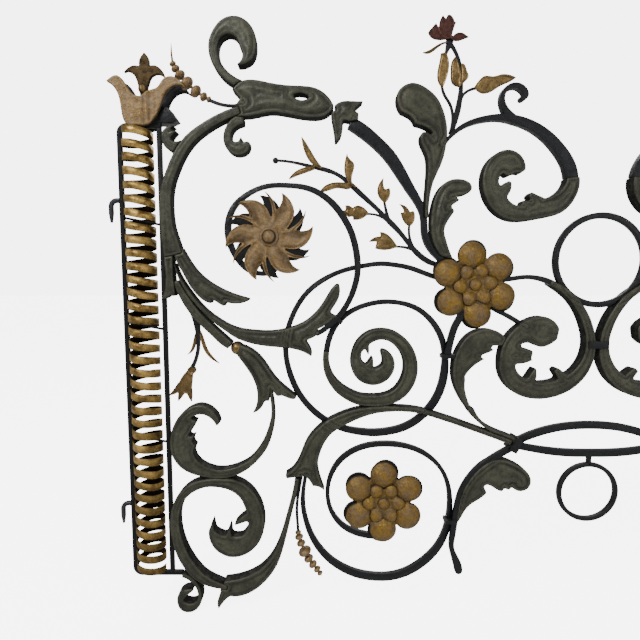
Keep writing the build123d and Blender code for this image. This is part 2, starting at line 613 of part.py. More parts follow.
def sunflower_plate(front, turn, reach, spikes):
    """A pressed plate of six swirling petals, with thin spikes between them on the front plate."""
    hub = Pos(FLOWER_CENTRE[0], front + FLOWER_PLATE / 2, FLOWER_CENTRE[1]) * Rot(90, 0, 0) * Cylinder(
        reach * 0.3, FLOWER_PLATE).solid()
    shapes = [hub]
    for i in range(6):
        angle = turn + 60 * i
        outer = turned([(reach * 0.18, -62), (reach * 0.5, -46), (reach * 0.78, -30), (reach * 0.93, -14),
                        (reach, 0)], FLOWER_CENTRE, angle)
        inner = turned([(reach, 0), (reach * 0.78, -4), (reach * 0.55, 2), (reach * 0.18, 20)], FLOWER_CENTRE,
                       angle)
        root = [inner[-1], outer[0]]
        shapes.append(plate([outer, inner, root], front, front + FLOWER_PLATE))
        if spikes:
            line = turned([(reach * 0.2, -8), (reach * 0.5, 2), (reach * 0.8, 12), (reach, 22)],
                          FLOWER_CENTRE, angle)
            halves = (5, 4.5, 3, 0.5)
            shapes.append(limb([(x, z, h) for (x, z), h in zip(line, halves)], front, front + FLOWER_PLATE))
    return joined(*shapes)


FLOWER_SEAT = RING_PLANE - RING_DEPTH


def flower_boss():
    """The turned collar and domed boss of the sunflower."""
    seat = FLOWER_SEAT - 2 * FLOWER_PLATE
    collar = Pos(FLOWER_CENTRE[0], seat - 1.5, FLOWER_CENTRE[1]) * Rot(90, 0, 0) * Cylinder(FLOWER_COLLAR,
                                                                                            3).solid()
    return joined(collar, dome(*FLOWER_CENTRE, FLOWER_BOSS, FLOWER_BOSS * 0.9, seat - 3))


def dome(x, z, radius, rise, seat):
    """A low dome whose base circle lies at depth seat and whose top points to the front."""
    ball = (radius ** 2 + rise ** 2) / (2 * rise)
    whole = Pos(x, seat - rise + ball, z) * Sphere(ball).solid()
    keep = Pos(x, seat - rise / 2, z) * Box(4 * radius, rise, 4 * radius).solid()
    return (whole & keep).solid()


def petal_spots(centre, ring, count=6, shift=0.0):
    """Centres of the petals or florets of a rosette."""
    x, z, start = centre
    return [(x + ring * cos(radians(start + shift + 360 / count * i)),
             z + ring * sin(radians(start + shift + 360 / count * i))) for i in range(count)]


def disc(x, z, radius, front, back):
    """A flat disc between two depths."""
    return Pos(x, (front + back) / 2, z) * Rot(90, 0, 0) * Cylinder(radius, back - front).solid()


def rosette(centre):
    """Back plate, petals, florets and boss of one rosette, stacked from the back forwards."""
    x, z, _ = centre
    seat = RING_PLANE
    back = joined(disc(x, z, PETAL_RING, seat - ROSETTE_PLATE, seat),
                  *[disc(px, pz, PETAL_RADIUS, seat - ROSETTE_PLATE, seat)
                    for px, pz in petal_spots(centre, PETAL_RING + 3, shift=-4)])
    level = seat - ROSETTE_PLATE
    petals = joined(disc(x, z, PETAL_RING * 0.8, level - ROSETTE_PLATE, level),
                    *[disc(px, pz, PETAL_RADIUS, level - ROSETTE_PLATE, level)
                      for px, pz in petal_spots(centre, PETAL_RING)],
                    *[dome(px, pz, PETAL_RADIUS, PETAL_RISE, level - ROSETTE_PLATE)
                      for px, pz in petal_spots(centre, PETAL_RING)])
    level -= ROSETTE_PLATE
    florets = joined(disc(x, z, FLORET_RING, level - ROSETTE_PLATE, level),
                     *[disc(px, pz, FLORET_RADIUS, level - ROSETTE_PLATE, level)
                       for px, pz in petal_spots(centre, FLORET_RING, shift=30)],
                     *[dome(px, pz, FLORET_RADIUS, FLORET_RISE, level - ROSETTE_PLATE)
                       for px, pz in petal_spots(centre, FLORET_RING, shift=30)])
    level -= ROSETTE_PLATE
    boss = dome(x, z, BOSS_RADIUS, FLORET_RISE, level)
    return back, petals, florets, boss


def hub(centre):
    """The disc behind a rosette that the bars butt against."""
    return disc(centre[0], centre[1], HUB_RADIUS, RING_PLANE, RING_PLANE + RING_DEPTH)


# Near the axis
def top_arch():
    """The upper arch bar with the curl that rises from it."""
    bar = limb([(-316, 962, 3), (-300, 982, 4), (-275, 1000, 4.5), (-245, 1010, 5), (-212, 1014, 6),
                (-180, 1010, 8), (-150, 1000, 9), (-120, 982, 10), (-93, 956, 11), (-73, 927, 12),
                (-65, 900, 12.5)], -ARCH_DEPTH / 2, ARCH_DEPTH / 2)
    curl = limb([(-178, 1008, 8), (-196, 1024, 6.5), (-205, 1042, 5), (-204, 1058, 4.5), (-195, 1069, 4.5),
                 (-181, 1073, 5), (-167, 1067, 5.5), (-161, 1057, 5.5), (-167, 1049, 5)], -ARCH_DEPTH / 2,
                ARCH_DEPTH / 2, round_end=True)
    return joined(bar, curl)


def top_spiral():
    """The coiled leaf at the end of the upper arch bar."""
    body = leaf([(-65, 900, 12.5), (-72, 870, 16), (-95, 848, 19), (-125, 839, 18), (-155, 831, 15),
                 (-182, 833, 16), (-206, 850, 18), (-222, 876, 17), (-224, 903, 17), (-211, 924, 20),
                 (-191, 927, 25), (-173, 920, 18), (-163, 910, 6)])
    lobes = [leaf([(-204, 868, 12), (-192, 882, 9), (-187, 892, 3)]), leaf([(-130, 852, 13), (-148, 868, 5)]),
             leaf([(-140, 842, 10), (-162, 853, 4)]), leaf([(-80, 900, 10), (-100, 902, 8), (-118, 897, 4)])]
    return joined(body, *lobes)


def carnation_petals():
    """The dark red petals of the carnation and its long sepal."""
    return [foil([[(-311, 1158), (-326, 1156), (-340, 1158), (-351, 1170)], [(-351, 1170), (-343, 1179)],
                  [(-343, 1179), (-336, 1187)], [(-336, 1187), (-327, 1174), (-311, 1158)]]),
            foil([[(-311, 1159), (-330, 1180), (-327, 1195), (-323, 1201)], [(-323, 1201), (-317, 1193)],
                  [(-317, 1193), (-311, 1202), (-303, 1195), (-302, 1184)], [(-302, 1184), (-296, 1192)],
                  [(-296, 1192), (-303, 1173), (-306, 1159)], [(-306, 1159), (-311, 1159)]]),
            foil([[(-306, 1158.5), (-298, 1168), (-284, 1169)], [(-284, 1169), (-272, 1161)],
                  [(-272, 1161), (-284, 1157), (-295, 1154), (-306, 1157)], [(-306, 1157), (-306, 1158.5)]]),
            foil([[(-313, 1153), (-330, 1149), (-346, 1139), (-361, 1134)],
                  [(-361, 1134), (-350, 1131), (-334, 1140), (-313, 1150)], [(-313, 1150), (-313, 1153)]])]


def carnation_stem():
    """The stems and calyx that carry the carnation."""
    slim = stem([(-304, 984, 2.6), (-299, 1003, 2.6), (-299, 1021, 2.4), (-305, 1041, 2.3), (-316, 1058, 2.2),
                 (-321, 1074, 2.2), (-320, 1110, 2.2), (-314, 1135, 3), (-309, 1150, 6), (-308, 1164, 7)])
    stout = stem([(-302, 984, 3.5), (-295, 1005, 5), (-289, 1030, 5.5), (-285, 1055, 4.5), (-284, 1085, 3.2),
                  (-287, 1112, 2.8), (-296, 1136, 2.8), (-307, 1152, 3.5)])
    branch = stem([(-284, 1048, 3), (-272, 1064, 2.4), (-250, 1071, 2.2), (-225, 1076, 2)])
    return joined(slim, stout, branch)


def carnation_leaves():
    """The four bronze leaves below the carnation."""
    return [foil([[(-320, 1068), (-331, 1084), (-331, 1101), (-328, 1116), (-326, 1132)],
                  [(-326, 1132), (-316, 1134)], [(-316, 1134), (-309, 1113), (-311, 1094), (-320, 1068)]]),
            foil([[(-287, 1070), (-304, 1079), (-306, 1098), (-305, 1115), (-298, 1126)],
                  [(-298, 1126), (-291, 1112), (-287.2, 1090), (-287, 1070)]]),
            foil([[(-286.4, 1072), (-278, 1080), (-271, 1090), (-275, 1101), (-279, 1111), (-286.6, 1114)],
                  [(-286.6, 1114), (-286.4, 1072)]]),
            foil([[(-260, 1070), (-251, 1083), (-240, 1091), (-225, 1090), (-208, 1094), (-190, 1092),
                   (-180, 1088)],
                  [(-180, 1088), (-196, 1078), (-212, 1071), (-224, 1063), (-238, 1058), (-260, 1070)]])]


def tailed_leaf():
    """The leaf against the spiral bar whose tail runs to the crossing."""
    body = plate([[(-178, 572), (-190, 592), (-212, 603), (-235, 603), (-258, 592), (-276, 570), (-287, 542),
                   (-289, 510), (-282, 482), (-266, 452), (-247, 428), (-230, 412)],
                  [(-230, 412), (-246, 436), (-257, 460), (-263, 485), (-262, 503)], [(-262, 503),
                                                                                      (-266, 502)],
                  [(-266, 502), (-255, 520), (-238, 535), (-224, 543)], [(-224, 543), (-239, 549)],
                  [(-239, 549), (-222, 554), (-207, 561)], [(-207, 561), (-219, 571)],
                  [(-219, 571), (-198, 570), (-178, 572)]], FRONT, BACK)
    tail = leaf([(-250, 440, 7), (-233, 417, 4), (-214, 401, 4), (-190, 388, 5), (-168, 379, 5.5),
                 (-152, 371, 6)])
    return joined(body, tail)


def inner_spiral():
    """The spiral that swings from the upper rosette past the axis and coils back."""
    body = leaf([(-100, 697, 5.5), (-88, 690, 6), (-60, 671, 7.5), (-36, 642, 8.5), (-20, 608, 9.5),
                 (-13.5, 572, 10), (-20, 536, 12), (-38, 508, 14), (-65, 489, 16), (-97, 479, 17),
                 (-130, 480, 18), (-158, 492, 18), (-176, 515, 17), (-180, 541, 16), (-176, 566, 15),
                 (-161, 587, 17), (-138, 598, 24), (-112, 598, 31), (-92, 596, 24), (-79, 594, 10)])
    lobes = [leaf([(-165, 560, 10), (-145, 556, 9), (-129, 555, 5)]),
             leaf([(-165, 541, 8), (-142, 541, 6), (-130, 543, 3)]), leaf([(-134, 488, 10), (-126, 510, 7),
                                                                           (-122, 525, 1.5)]),
                                                                           leaf([(-60, 495, 9), (-72, 512, 8),
                                                                                 (-82, 522, 5)])]
    return joined(body, *lobes)


def rosette_bars():
    """The two thin bars from the upper rosette towards the axis and the lower right."""
    right = front_bar([(-262, 694, 5), (-205, 700, 4.5), (-180, 703, 4.5), (-150, 707, 4.5), (-120, 704, 5),
                       (-94, 694, 5.5)])
    lower = rear_bar([(-262, 694, 5), (-222, 654, 4.5), (-205, 643, 4.5), (-185, 633, 4.5), (-160, 619, 4.5),
                      (-140, 606, 4)])
    return [right, lower]


def rosette_drop():
    """The bar from the upper rosette down to the tie on the spiral bar."""
    return front_bar([(-262, 690, 5), (-270, 650, 5), (-277, 625, 6.5), (-284, 612, 6.5), (-291, 592, 6.5),
                      (-296, 570, 6.5), (-300, 545, 6.5)])


def lower_leaf():
    """The hooded leaf under the crossing."""
    return plate([[(-272, 195), (-270, 230), (-262, 265), (-248, 292), (-228, 316), (-203, 332), (-180, 334),
                   (-155, 325), (-133, 311), (-121, 290), (-126, 273), (-143, 266), (-160, 277)],
                  [(-160, 277), (-167, 269), (-176, 277)], [(-176, 277), (-181, 266), (-195, 272),
                                                            (-218, 277)],
                  [(-218, 277), (-211, 263)], [(-211, 263), (-230, 247), (-250, 232), (-262, 212),
                                               (-272, 195)]],
                 FRONT, BACK)


def lower_bar():
    """The bar over the hooded leaf, from the crossing down to its hooked strap."""
    return front_bar([(-158, 361, 6.5), (-190, 343, 6.5), (-215, 326, 6.5), (-237, 307, 6.5), (-253, 286, 6),
                      (-264, 263, 6), (-270, 240, 6), (-274, 215, 6), (-277, 190, 6), (-280, 165, 5.5),
                      (-281, 146, 5), (-276, 128, 6), (-269, 110, 8), (-265, 93, 8)], round_end=True)


CROSSING = (-156.0, 365.0)


def crossing_collar():
    """The forged collar where the bars cross."""
    return Pos(CROSSING[0], 0, CROSSING[1]) * Rot(0, 30, 0) * Box(16, LEAF_DEPTH + 4, 30).solid()


def centre_bars():
    """The two bars that arch from crossing to crossing over the axis."""
    left = [(-152, 367, 7), (-120, 382, 8), (-68, 397, 8), (0, 403, 8)]
    upper = left + [(-x, z, h) for x, z, h in left[-2::-1]]
    left = [(-152, 363, 7), (-110, 355, 7.5), (-64, 349, 8), (0, CENTRE_BAR_LEVEL, 8)]
    lower = left + [(-x, z, h) for x, z, h in left[-2::-1]]
    return [rear_bar(upper), front_bar(lower)]


TIE_WALL = 4.0
AXIS_TIE = (40.0, 572.0)
CENTRE_BAR_LEVEL = 347.0
CENTRE_RINGS = ((740.0, 94.0, 12.0), (262.0, 63.0, 9.0))


def centre_ring(level, radius, width):
    """A plain ring on the axis."""
    half = RING_DEPTH / 2
    outer = disc(0, level, radius, RING_PLANE - half, RING_PLANE + half)
    return outer.cut(disc(0, level, radius - width, RING_PLANE - half - 1, RING_PLANE + half + 1)).solids()[0]


def pendant_link():
    """The short link from the lower centre bar to the lower ring."""
    level, radius, _ = CENTRE_RINGS[1]
    return Pos(0, RING_PLANE, (level + radius + CENTRE_BAR_LEVEL) / 2) * Box(
        8, RING_DEPTH, CENTRE_BAR_LEVEL - level - radius + 10).solid()


def tie(x, z, width, height, turn=0.0):
    """A collar around bars that lie side by side."""
    return Pos(x, RING_PLANE, z) * Rot(0, turn, 0) * Box(width, 2 * RING_DEPTH + TIE_WALL, height).solid()


def ties():
    """The collars that tie the rings and bars to each other."""
    axis_half = Pos(-AXIS_TIE[0] / 4, 0, AXIS_TIE[1]) * Box(AXIS_TIE[0] / 2, LEAF_DEPTH + TIE_WALL,
                                                            14).solid()
    return [axis_half, crossing_collar(), tie(-298, 548, 26, 8), tie(-338, 431, 24, 9, -35),
            tie(-520, 622, 20, 8, 40), tie(-284, 200, 24, 8)]


# Assembly: earlier pieces keep their shape and later ones are cut to fit against them
def half_panel():
    """Every piece of the left half, in the order in which they are fitted."""
    roses = [rosette(centre) for centre in ROSETTE_CENTRES]
    seat = FLOWER_SEAT
    return [
        ("frame_bars", [frame_bar()]), ("inner_posts", [inner_post()]), ("gilt_ribbons", [gilt_ribbon()]),
        ("post_rungs", rungs()), ("hooks", [hook(level) for level in HOOK_LEVELS]),
        ("rosette_backs", [rose[0] for rose in roses]), ("rosette_petals", [rose[1] for rose in roses]),
        ("rosette_florets", [rose[2] for rose in roses]), ("rosette_bosses", [rose[3] for rose in roses]),
        ("rosette_hubs", [hub(ROSETTE_CENTRES[0])]),
        ("sunflower_rings", [sunflower_ring()]), ("spiral_bars", [spiral_bar()]), ("berry_rings",
                                                                                   [berry_ring()]),
        ("lower_bars", [lower_bar()]), ("rosette_bars", rosette_bars()), ("rosette_drops", [rosette_drop()]),
        ("arch_bars", [arch_bar()]), ("top_arches", [top_arch()]), ("sprig_stems", [sprig_stem()]),
        ("carnation_stems", [carnation_stem()]), ("bead_stems", [spray_stem(), drop_stem()]),
        ("bead_rows", [bead_spray(), bead_drop()]), ("knobs", [knob()]),
        ("cap_straps", [cap_strap()]), ("palmette_fronts", [palmette_front()]), ("palmette_backs",
                                                                                 [palmette_back()]),
        ("fleur_finials", [fleur()]), ("side_scrolls", [side_scroll()]), ("small_curls", [small_curl()]),
        ("top_husks", [top_husk()]), ("husk_curls", [upper_curl(), husk_curl()]),
        ("collar_leaves", [collar_leaf()]), ("calyxes", [calyx()]), ("main_leaves", [main_leaf()]),
        ("sheath_leaves", [sheath_leaf()]), ("knob_branches", [knob_branch()]), ("bluebell_stems",
                                                                                 [bluebell_stem()]),
        ("bluebells", [bluebell()]), ("knob_husks", [knob_husk()]), ("crescents", [crescent()]),
        ("c_scrolls", [c_scroll()]), ("foot_curls", [foot_curl()]), ("lower_sheaths", [lower_sheath()]),
        ("acanthus_bars", [acanthus()]), ("spiral_leaves", [spiral_leaf()]), ("tall_leaves", [tall_leaf()]),
        ("lobed_leaves", [lobed_leaf()]), ("top_spirals", [top_spiral()]), ("inner_spirals",
                                                                            [inner_spiral()]),
        ("tailed_leaves", [tailed_leaf()]), ("lower_leaves", [lower_leaf()]),
        ("sunflower_backs", [sunflower_plate(seat - FLOWER_PLATE, 104, FLOWER_REACH * 0.94, False)]),
        ("sunflower_fronts", [sunflower_plate(seat - 2 * FLOWER_PLATE, 74, FLOWER_REACH, True)]),
        ("sunflower_bosses", [flower_boss()]),
        ("small_gilt_leaves", sprig_leaves() + bluebell_leaves() + sprig_buds()),
        ("carnation_foils", carnation_petals() + carnation_leaves()),
    ]


def boxes_meet(a, b):
    """Whether the bounding boxes of two solids meet."""
    p, q = a.bounding_box(), b.bounding_box()
    return (p.min.X < q.max.X and q.min.X < p.max.X and p.min.Y < q.max.Y and q.min.Y < p.max.Y
            and p.min.Z < q.max.Z and q.min.Z < p.max.Z)


def fitted(nodes):
    """Cut each solid by the earlier ones that it meets and keep its main body."""
    done, result = [], {}
    for name, solids in nodes:
        result[name] = []
        for solid in solids:
            tools = [other for other in done if boxes_meet(solid, other)]
            if tools:
                solid = max(solid.cut(*tools).solids(), key=lambda body: body.volume)
            result[name].append(solid)
        done += result[name]
    return result


def centre_pieces():
    """The pieces that cross the axis and have no twin."""
    return [("centre_rings", [centre_ring(*ring) for ring in CENTRE_RINGS] + [pendant_link()]),
            ("centre_bars", centre_bars())]


def main():
    """Build, fit, mirror and write every node."""
    os.makedirs("parts", exist_ok=True)
    print(f"least gap between turns of the ribbon: {ribbon_gap():.2f} mm")
    centre = centre_pieces()
    nodes = fitted(centre + half_panel() + [("ties", ties())])
    whole = {name for name, _ in centre}
    for name, solids in nodes.items():
        twins = [] if name in whole else [mirror(solid, about=Plane.YZ).solid() for solid in solids]
        export_step(Compound(children=solids + twins), f"parts/{name}.step")


if __name__ == "__main__":
    main()
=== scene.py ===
"""Looks of the wrought-iron scrollwork hanging panel.

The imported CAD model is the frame. Leaves, petals and foils are dressed with embossed copies of their
nodes, bars with rounded ones, and every piece carries a procedural finish. Sizes are in metres.
"""

import json
import logging
import math
from dataclasses import dataclass, field
from enum import Enum

import bmesh
import bpy
from mathutils import Matrix, Vector, noise
from mathutils.kdtree import KDTree

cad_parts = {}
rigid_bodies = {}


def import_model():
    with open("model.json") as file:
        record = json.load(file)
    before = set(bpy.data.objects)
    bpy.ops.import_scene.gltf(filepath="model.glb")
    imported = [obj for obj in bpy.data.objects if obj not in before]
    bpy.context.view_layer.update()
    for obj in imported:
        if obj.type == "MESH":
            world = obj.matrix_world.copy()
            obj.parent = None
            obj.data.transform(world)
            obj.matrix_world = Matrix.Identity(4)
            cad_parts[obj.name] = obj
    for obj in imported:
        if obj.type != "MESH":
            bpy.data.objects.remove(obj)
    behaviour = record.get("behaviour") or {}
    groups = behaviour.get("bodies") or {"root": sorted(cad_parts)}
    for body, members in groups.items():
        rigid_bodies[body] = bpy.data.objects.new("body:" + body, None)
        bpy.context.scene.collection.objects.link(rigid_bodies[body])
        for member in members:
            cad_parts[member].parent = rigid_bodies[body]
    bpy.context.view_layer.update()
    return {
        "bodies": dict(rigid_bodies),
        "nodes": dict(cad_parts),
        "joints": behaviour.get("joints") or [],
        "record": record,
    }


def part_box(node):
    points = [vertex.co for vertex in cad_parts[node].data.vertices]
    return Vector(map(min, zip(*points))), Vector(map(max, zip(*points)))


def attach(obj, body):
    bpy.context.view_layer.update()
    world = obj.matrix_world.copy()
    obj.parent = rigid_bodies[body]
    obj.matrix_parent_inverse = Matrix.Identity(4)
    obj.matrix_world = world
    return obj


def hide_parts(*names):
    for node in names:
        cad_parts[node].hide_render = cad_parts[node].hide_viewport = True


LOG = logging.getLogger("panel")
Colour = tuple[float, float, float, float]
BEND_GAIN = 5.0
FILM_GAIN = 0.8
FILM_CURVE = 1.32
FAR = 1.0
UNEVEN = 0.06
MM = 0.001


class Attribute(Enum):
    """Values stored on the points of a dressed piece for its finish to read."""

    RIM = "rim"
    # Painted shade in grooves, hollows and folds, on side walls and on steep slopes.
    PAINTED_SHADE = "painted_shade"
    # Painted shade on the walls of the leaves and the inner faces of the ribbons, with the ribbons' darkening towards
    # the bottom.
    INSIDE = "shade_and_darkening"


# ---- Shader groups that the finishes share
class NodeTree:
    """A short way to add and join nodes in one tree."""

    def __init__(self, tree: bpy.types.NodeTree) -> None:
        """Keep the tree.

        Args:
            tree: the tree that new nodes go into.
        """
        self.tree = tree

    def add(self, kind: str, settings: dict | None = None, **inputs: object) -> bpy.types.Node:
        """Add a node.

        Args:
            kind: the node's type.
            settings: properties of the node.
            inputs: values or sockets for its inputs, named with _ for a space.

        Returns:
            The new node.
        """
        node = self.tree.nodes.new(kind)
        for name, value in (settings or {}).items():
            setattr(node, name, value)
        for name, value in inputs.items():
            socket = node.inputs[int(name[1:])] if name[0] == "i" and name[1:].isdigit() else node.inputs[
                name.replace("_", " ")]
            if isinstance(value, bpy.types.NodeSocket):
                self.tree.links.new(value, socket)
            else:
                socket.default_value = value
        return node

    def math(self, operation: str, first: object, second: object = 0.0, clamp: bool = False) -> bpy.types.NodeSocket:
        """Add a math node and return its result socket."""
        return self.add("ShaderNodeMath", {"operation": operation, "use_clamp": clamp}, i0=first, i1=second).outputs[0]

    def ramp(self, value: bpy.types.NodeSocket, low: float, high: float) -> bpy.types.NodeSocket:
        """Stretch a value between two limits to 0 to 1 and return its socket."""
        node = self.add("ShaderNodeMapRange", {"clamp": True}, Value=value, From_Min=low, From_Max=high)
        return node.outputs[0]

    def mix(self, share: object, first: object, second: object) -> bpy.types.NodeSocket:
        """Mix two colours and return the colour socket."""
        node = self.add("ShaderNodeMix", {"data_type": "RGBA"}, i0=share, i6=first, i7=second)
        return node.outputs[2]


def shader_group(name: str, inputs: dict[str, float], outputs: tuple[str, ...]) -> tuple[
        NodeTree, bpy.types.Node, bpy.types.Node]:
    """Start a node group with float sockets.

    Args:
        name: the group's name.
        inputs: its inputs with their values.
        outputs: its outputs.

    Returns:
        The tree, its input node and its output node.
    """
    tree = bpy.data.node_groups.new(name, "ShaderNodeTree")
    for label, value in inputs.items():
        tree.interface.new_socket(label, in_out="INPUT", socket_type="NodeSocketFloat").default_value = value
    for label in outputs:
        tree.interface.new_socket(label, in_out="OUTPUT", socket_type="NodeSocketFloat")
    nodes = NodeTree(tree)
    return nodes, nodes.add("NodeGroupInput"), nodes.add("NodeGroupOutput")


def patina_group() -> bpy.types.NodeTree:
    """Mottled patina: a large blotch mask, a fine speck mask and a height."""
    nodes, given, result = shader_group("patina", {"Scale": 30.0}, ("Blotch", "Speck", "Height"))
    place = nodes.add("ShaderNodeTexCoord").outputs["Object"]
    large = nodes.add("ShaderNodeTexNoise", Vector=place, Scale=given.outputs["Scale"], Detail=5.0, Roughness=0.62)
    fine_scale = nodes.math("MULTIPLY", given.outputs["Scale"], 9.0)
    fine = nodes.add("ShaderNodeTexNoise", Vector=place, Scale=fine_scale, Detail=3.0, Roughness=0.7)
    nodes.tree.links.new(nodes.ramp(large.outputs[0], 0.38, 0.66), result.inputs["Blotch"])
    nodes.tree.links.new(nodes.ramp(fine.outputs[0], 0.5, 0.7), result.inputs["Speck"])
    height = nodes.math("ADD", large.outputs[0], nodes.math("MULTIPLY", fine.outputs[0], 0.35))
    nodes.tree.links.new(height, result.inputs["Height"])
    return nodes.tree


def hammer_group() -> bpy.types.NodeTree:
    """Shallow hammer marks as a height."""
    nodes, given, result = shader_group("hammer_marks", {"Scale": 90.0}, ("Height",))
    place = nodes.add("ShaderNodeTexCoord").outputs["Object"]
    cells = nodes.add("ShaderNodeTexVoronoi", {"feature": "SMOOTH_F1"}, Vector=place, Scale=given.outputs["Scale"],
                      Smoothness=0.6)
    nodes.tree.links.new(cells.outputs["Distance"], result.inputs["Height"])
    return nodes.tree


def edge_wear_and_shade_group() -> bpy.types.NodeTree:
    """Rubbed edges, and painted shade in grooves and on sides with a little random grime, from the values stored on the
    points.
    """
    nodes, given, result = shader_group("edge_wear_and_shade", {"Scale": 120.0}, ("Rubbed", "Shade_And_Grime"))
    place = nodes.add("ShaderNodeTexCoord").outputs["Object"]
    broken = nodes.add("ShaderNodeTexNoise", Vector=place, Scale=given.outputs["Scale"], Detail=4.0, Roughness=0.6)
    rim = nodes.add("ShaderNodeAttribute", {"attribute_name": Attribute.RIM.value}).outputs["Fac"]
    painted_shade = nodes.add("ShaderNodeAttribute", {"attribute_name": Attribute.PAINTED_SHADE.value}).outputs["Fac"]
    chips = nodes.ramp(broken.outputs[0], 0.46, 0.64)
    nodes.tree.links.new(nodes.math("MULTIPLY", rim, chips, True), result.inputs["Rubbed"])
    # Painted shade from the stored values, with a little random grime.
    shade_with_grime = nodes.math("ADD", nodes.math("MULTIPLY", painted_shade, 0.85), nodes.math("MULTIPLY", chips, 0.2))
    nodes.tree.links.new(nodes.math("MULTIPLY", shade_with_grime, 1.0, True), result.inputs["Shade_And_Grime"])
    return nodes.tree


def dust_group() -> bpy.types.NodeTree:
    """Dust that lies on faces turned upwards."""
    nodes, given, result = shader_group("dust", {"Scale": 60.0}, ("Mask",))
    place = nodes.add("ShaderNodeTexCoord").outputs["Object"]
    spots = nodes.add("ShaderNodeTexNoise", Vector=place, Scale=given.outputs["Scale"], Detail=4.0)
    normal = nodes.add("ShaderNodeNewGeometry").outputs["Normal"]
    upward = nodes.ramp(nodes.add("ShaderNodeSeparateXYZ", Vector=normal).outputs["Z"], 0.35, 1.0)
    nodes.tree.links.new(nodes.math("MULTIPLY", upward, nodes.ramp(spots.outputs[0], 0.35, 0.7), True),
                         result.inputs["Mask"])
    return nodes.tree


@dataclass(frozen=True)
class Finish:
    """One metal finish: its colours, shine and the size of its marks."""

    name: str
    base: Colour
    light: Colour
    dark: Colour
    worn: Colour
    metallic: float = 0.5
    roughness: float = 0.5
    rough_spread: float = 0.2
    patina_scale: float = 30.0
    bump: float = 0.0006
    rubbed: float = 0.6
    dust: float = 0.1
    mirror: float = 0.3
    # Colour of the painted shade on side walls and inner faces, also used for the ribbons' darkening towards the
    # bottom.
    shade_and_darkening: Colour | None = None

    def material(self, groups: dict[str, bpy.types.NodeTree]) -> bpy.types.Material:
        """Build the material.

        Args:
            groups: the shared shader groups by name.

        Returns:
            The finish as a material.
        """
        material = bpy.data.materials.new(self.name)
        material.use_nodes = True
        material.node_tree.nodes.clear()
        nodes = NodeTree(material.node_tree)
        patina = nodes.add("ShaderNodeGroup", {"node_tree": groups["patina"]}, Scale=self.patina_scale)
        marks = nodes.add("ShaderNodeGroup", {"node_tree": groups["hammer_marks"]}, Scale=self.patina_scale * 3)
        wear_and_shade = nodes.add("ShaderNodeGroup", {"node_tree": groups["edge_wear_and_shade"]})
        dust = nodes.add("ShaderNodeGroup", {"node_tree": groups["dust"]})
        colour = nodes.mix(patina.outputs["Blotch"], self.base, self.light)
        colour = nodes.mix(nodes.math("MULTIPLY", patina.outputs["Speck"], 0.45), colour, self.dark)
        # Painted shade on the leaf walls and the ribbons' inner faces, and the ribbons' darkening towards the bottom.
        if self.shade_and_darkening:
            shade_and_darkening_mask = nodes.add("ShaderNodeAttribute", {"attribute_name": Attribute.INSIDE.value}).outputs["Fac"]
            colour = nodes.mix(shade_and_darkening_mask, colour, self.shade_and_darkening)
        # Painted shade in grooves and hollows, on side walls and slopes, with a little random grime, towards the dark
        # colour.
        colour = nodes.mix(wear_and_shade.outputs["Shade_And_Grime"], colour, self.dark)
        colour = nodes.mix(nodes.math("MULTIPLY", wear_and_shade.outputs["Rubbed"], self.rubbed), colour, self.worn)
        dusty = nodes.math("MULTIPLY", dust.outputs["Mask"], self.dust)
        colour = nodes.mix(dusty, colour, (0.32, 0.31, 0.28, 1.0))
        rough = nodes.math("ADD", nodes.math("MULTIPLY", patina.outputs["Blotch"], self.rough_spread), self.roughness)
        rough = nodes.math("ADD", rough, nodes.math("MULTIPLY", dusty, 0.4), True)
        rough = nodes.math("ADD", rough, nodes.math("MULTIPLY", wear_and_shade.outputs["Shade_And_Grime"], 0.35), True)
        if self.shade_and_darkening:
            rough = nodes.math("ADD", rough, nodes.math("MULTIPLY", shade_and_darkening_mask, 0.6), True)
        relief = nodes.math("ADD", patina.outputs["Height"], nodes.math("MULTIPLY", marks.outputs["Height"], 0.8))
        bump = nodes.add("ShaderNodeBump", Height=relief, Distance=self.bump, Strength=1.0)
        shader = nodes.add("ShaderNodeBsdfPrincipled", Base_Color=colour, Roughness=rough, Metallic=self.metallic,
                           Normal=bump.outputs[0])
        shader.inputs["Specular IOR Level"].default_value = self.mirror
        nodes.add("ShaderNodeOutputMaterial", Surface=shader.outputs[0])
        return material


def rgb(red: float, green: float, blue: float) -> Colour:
    """Turn a colour as the photograph shows it, 0 to 255, into the shader's colour under the studio's light."""
    linear = [((part / 255 + 0.055) / 1.055) ** 2.4 for part in (red, green, blue)]
    shaded = [FILM_GAIN * part ** FILM_CURVE for part in linear]
    return (shaded[0], shaded[1], shaded[2], 1.0)


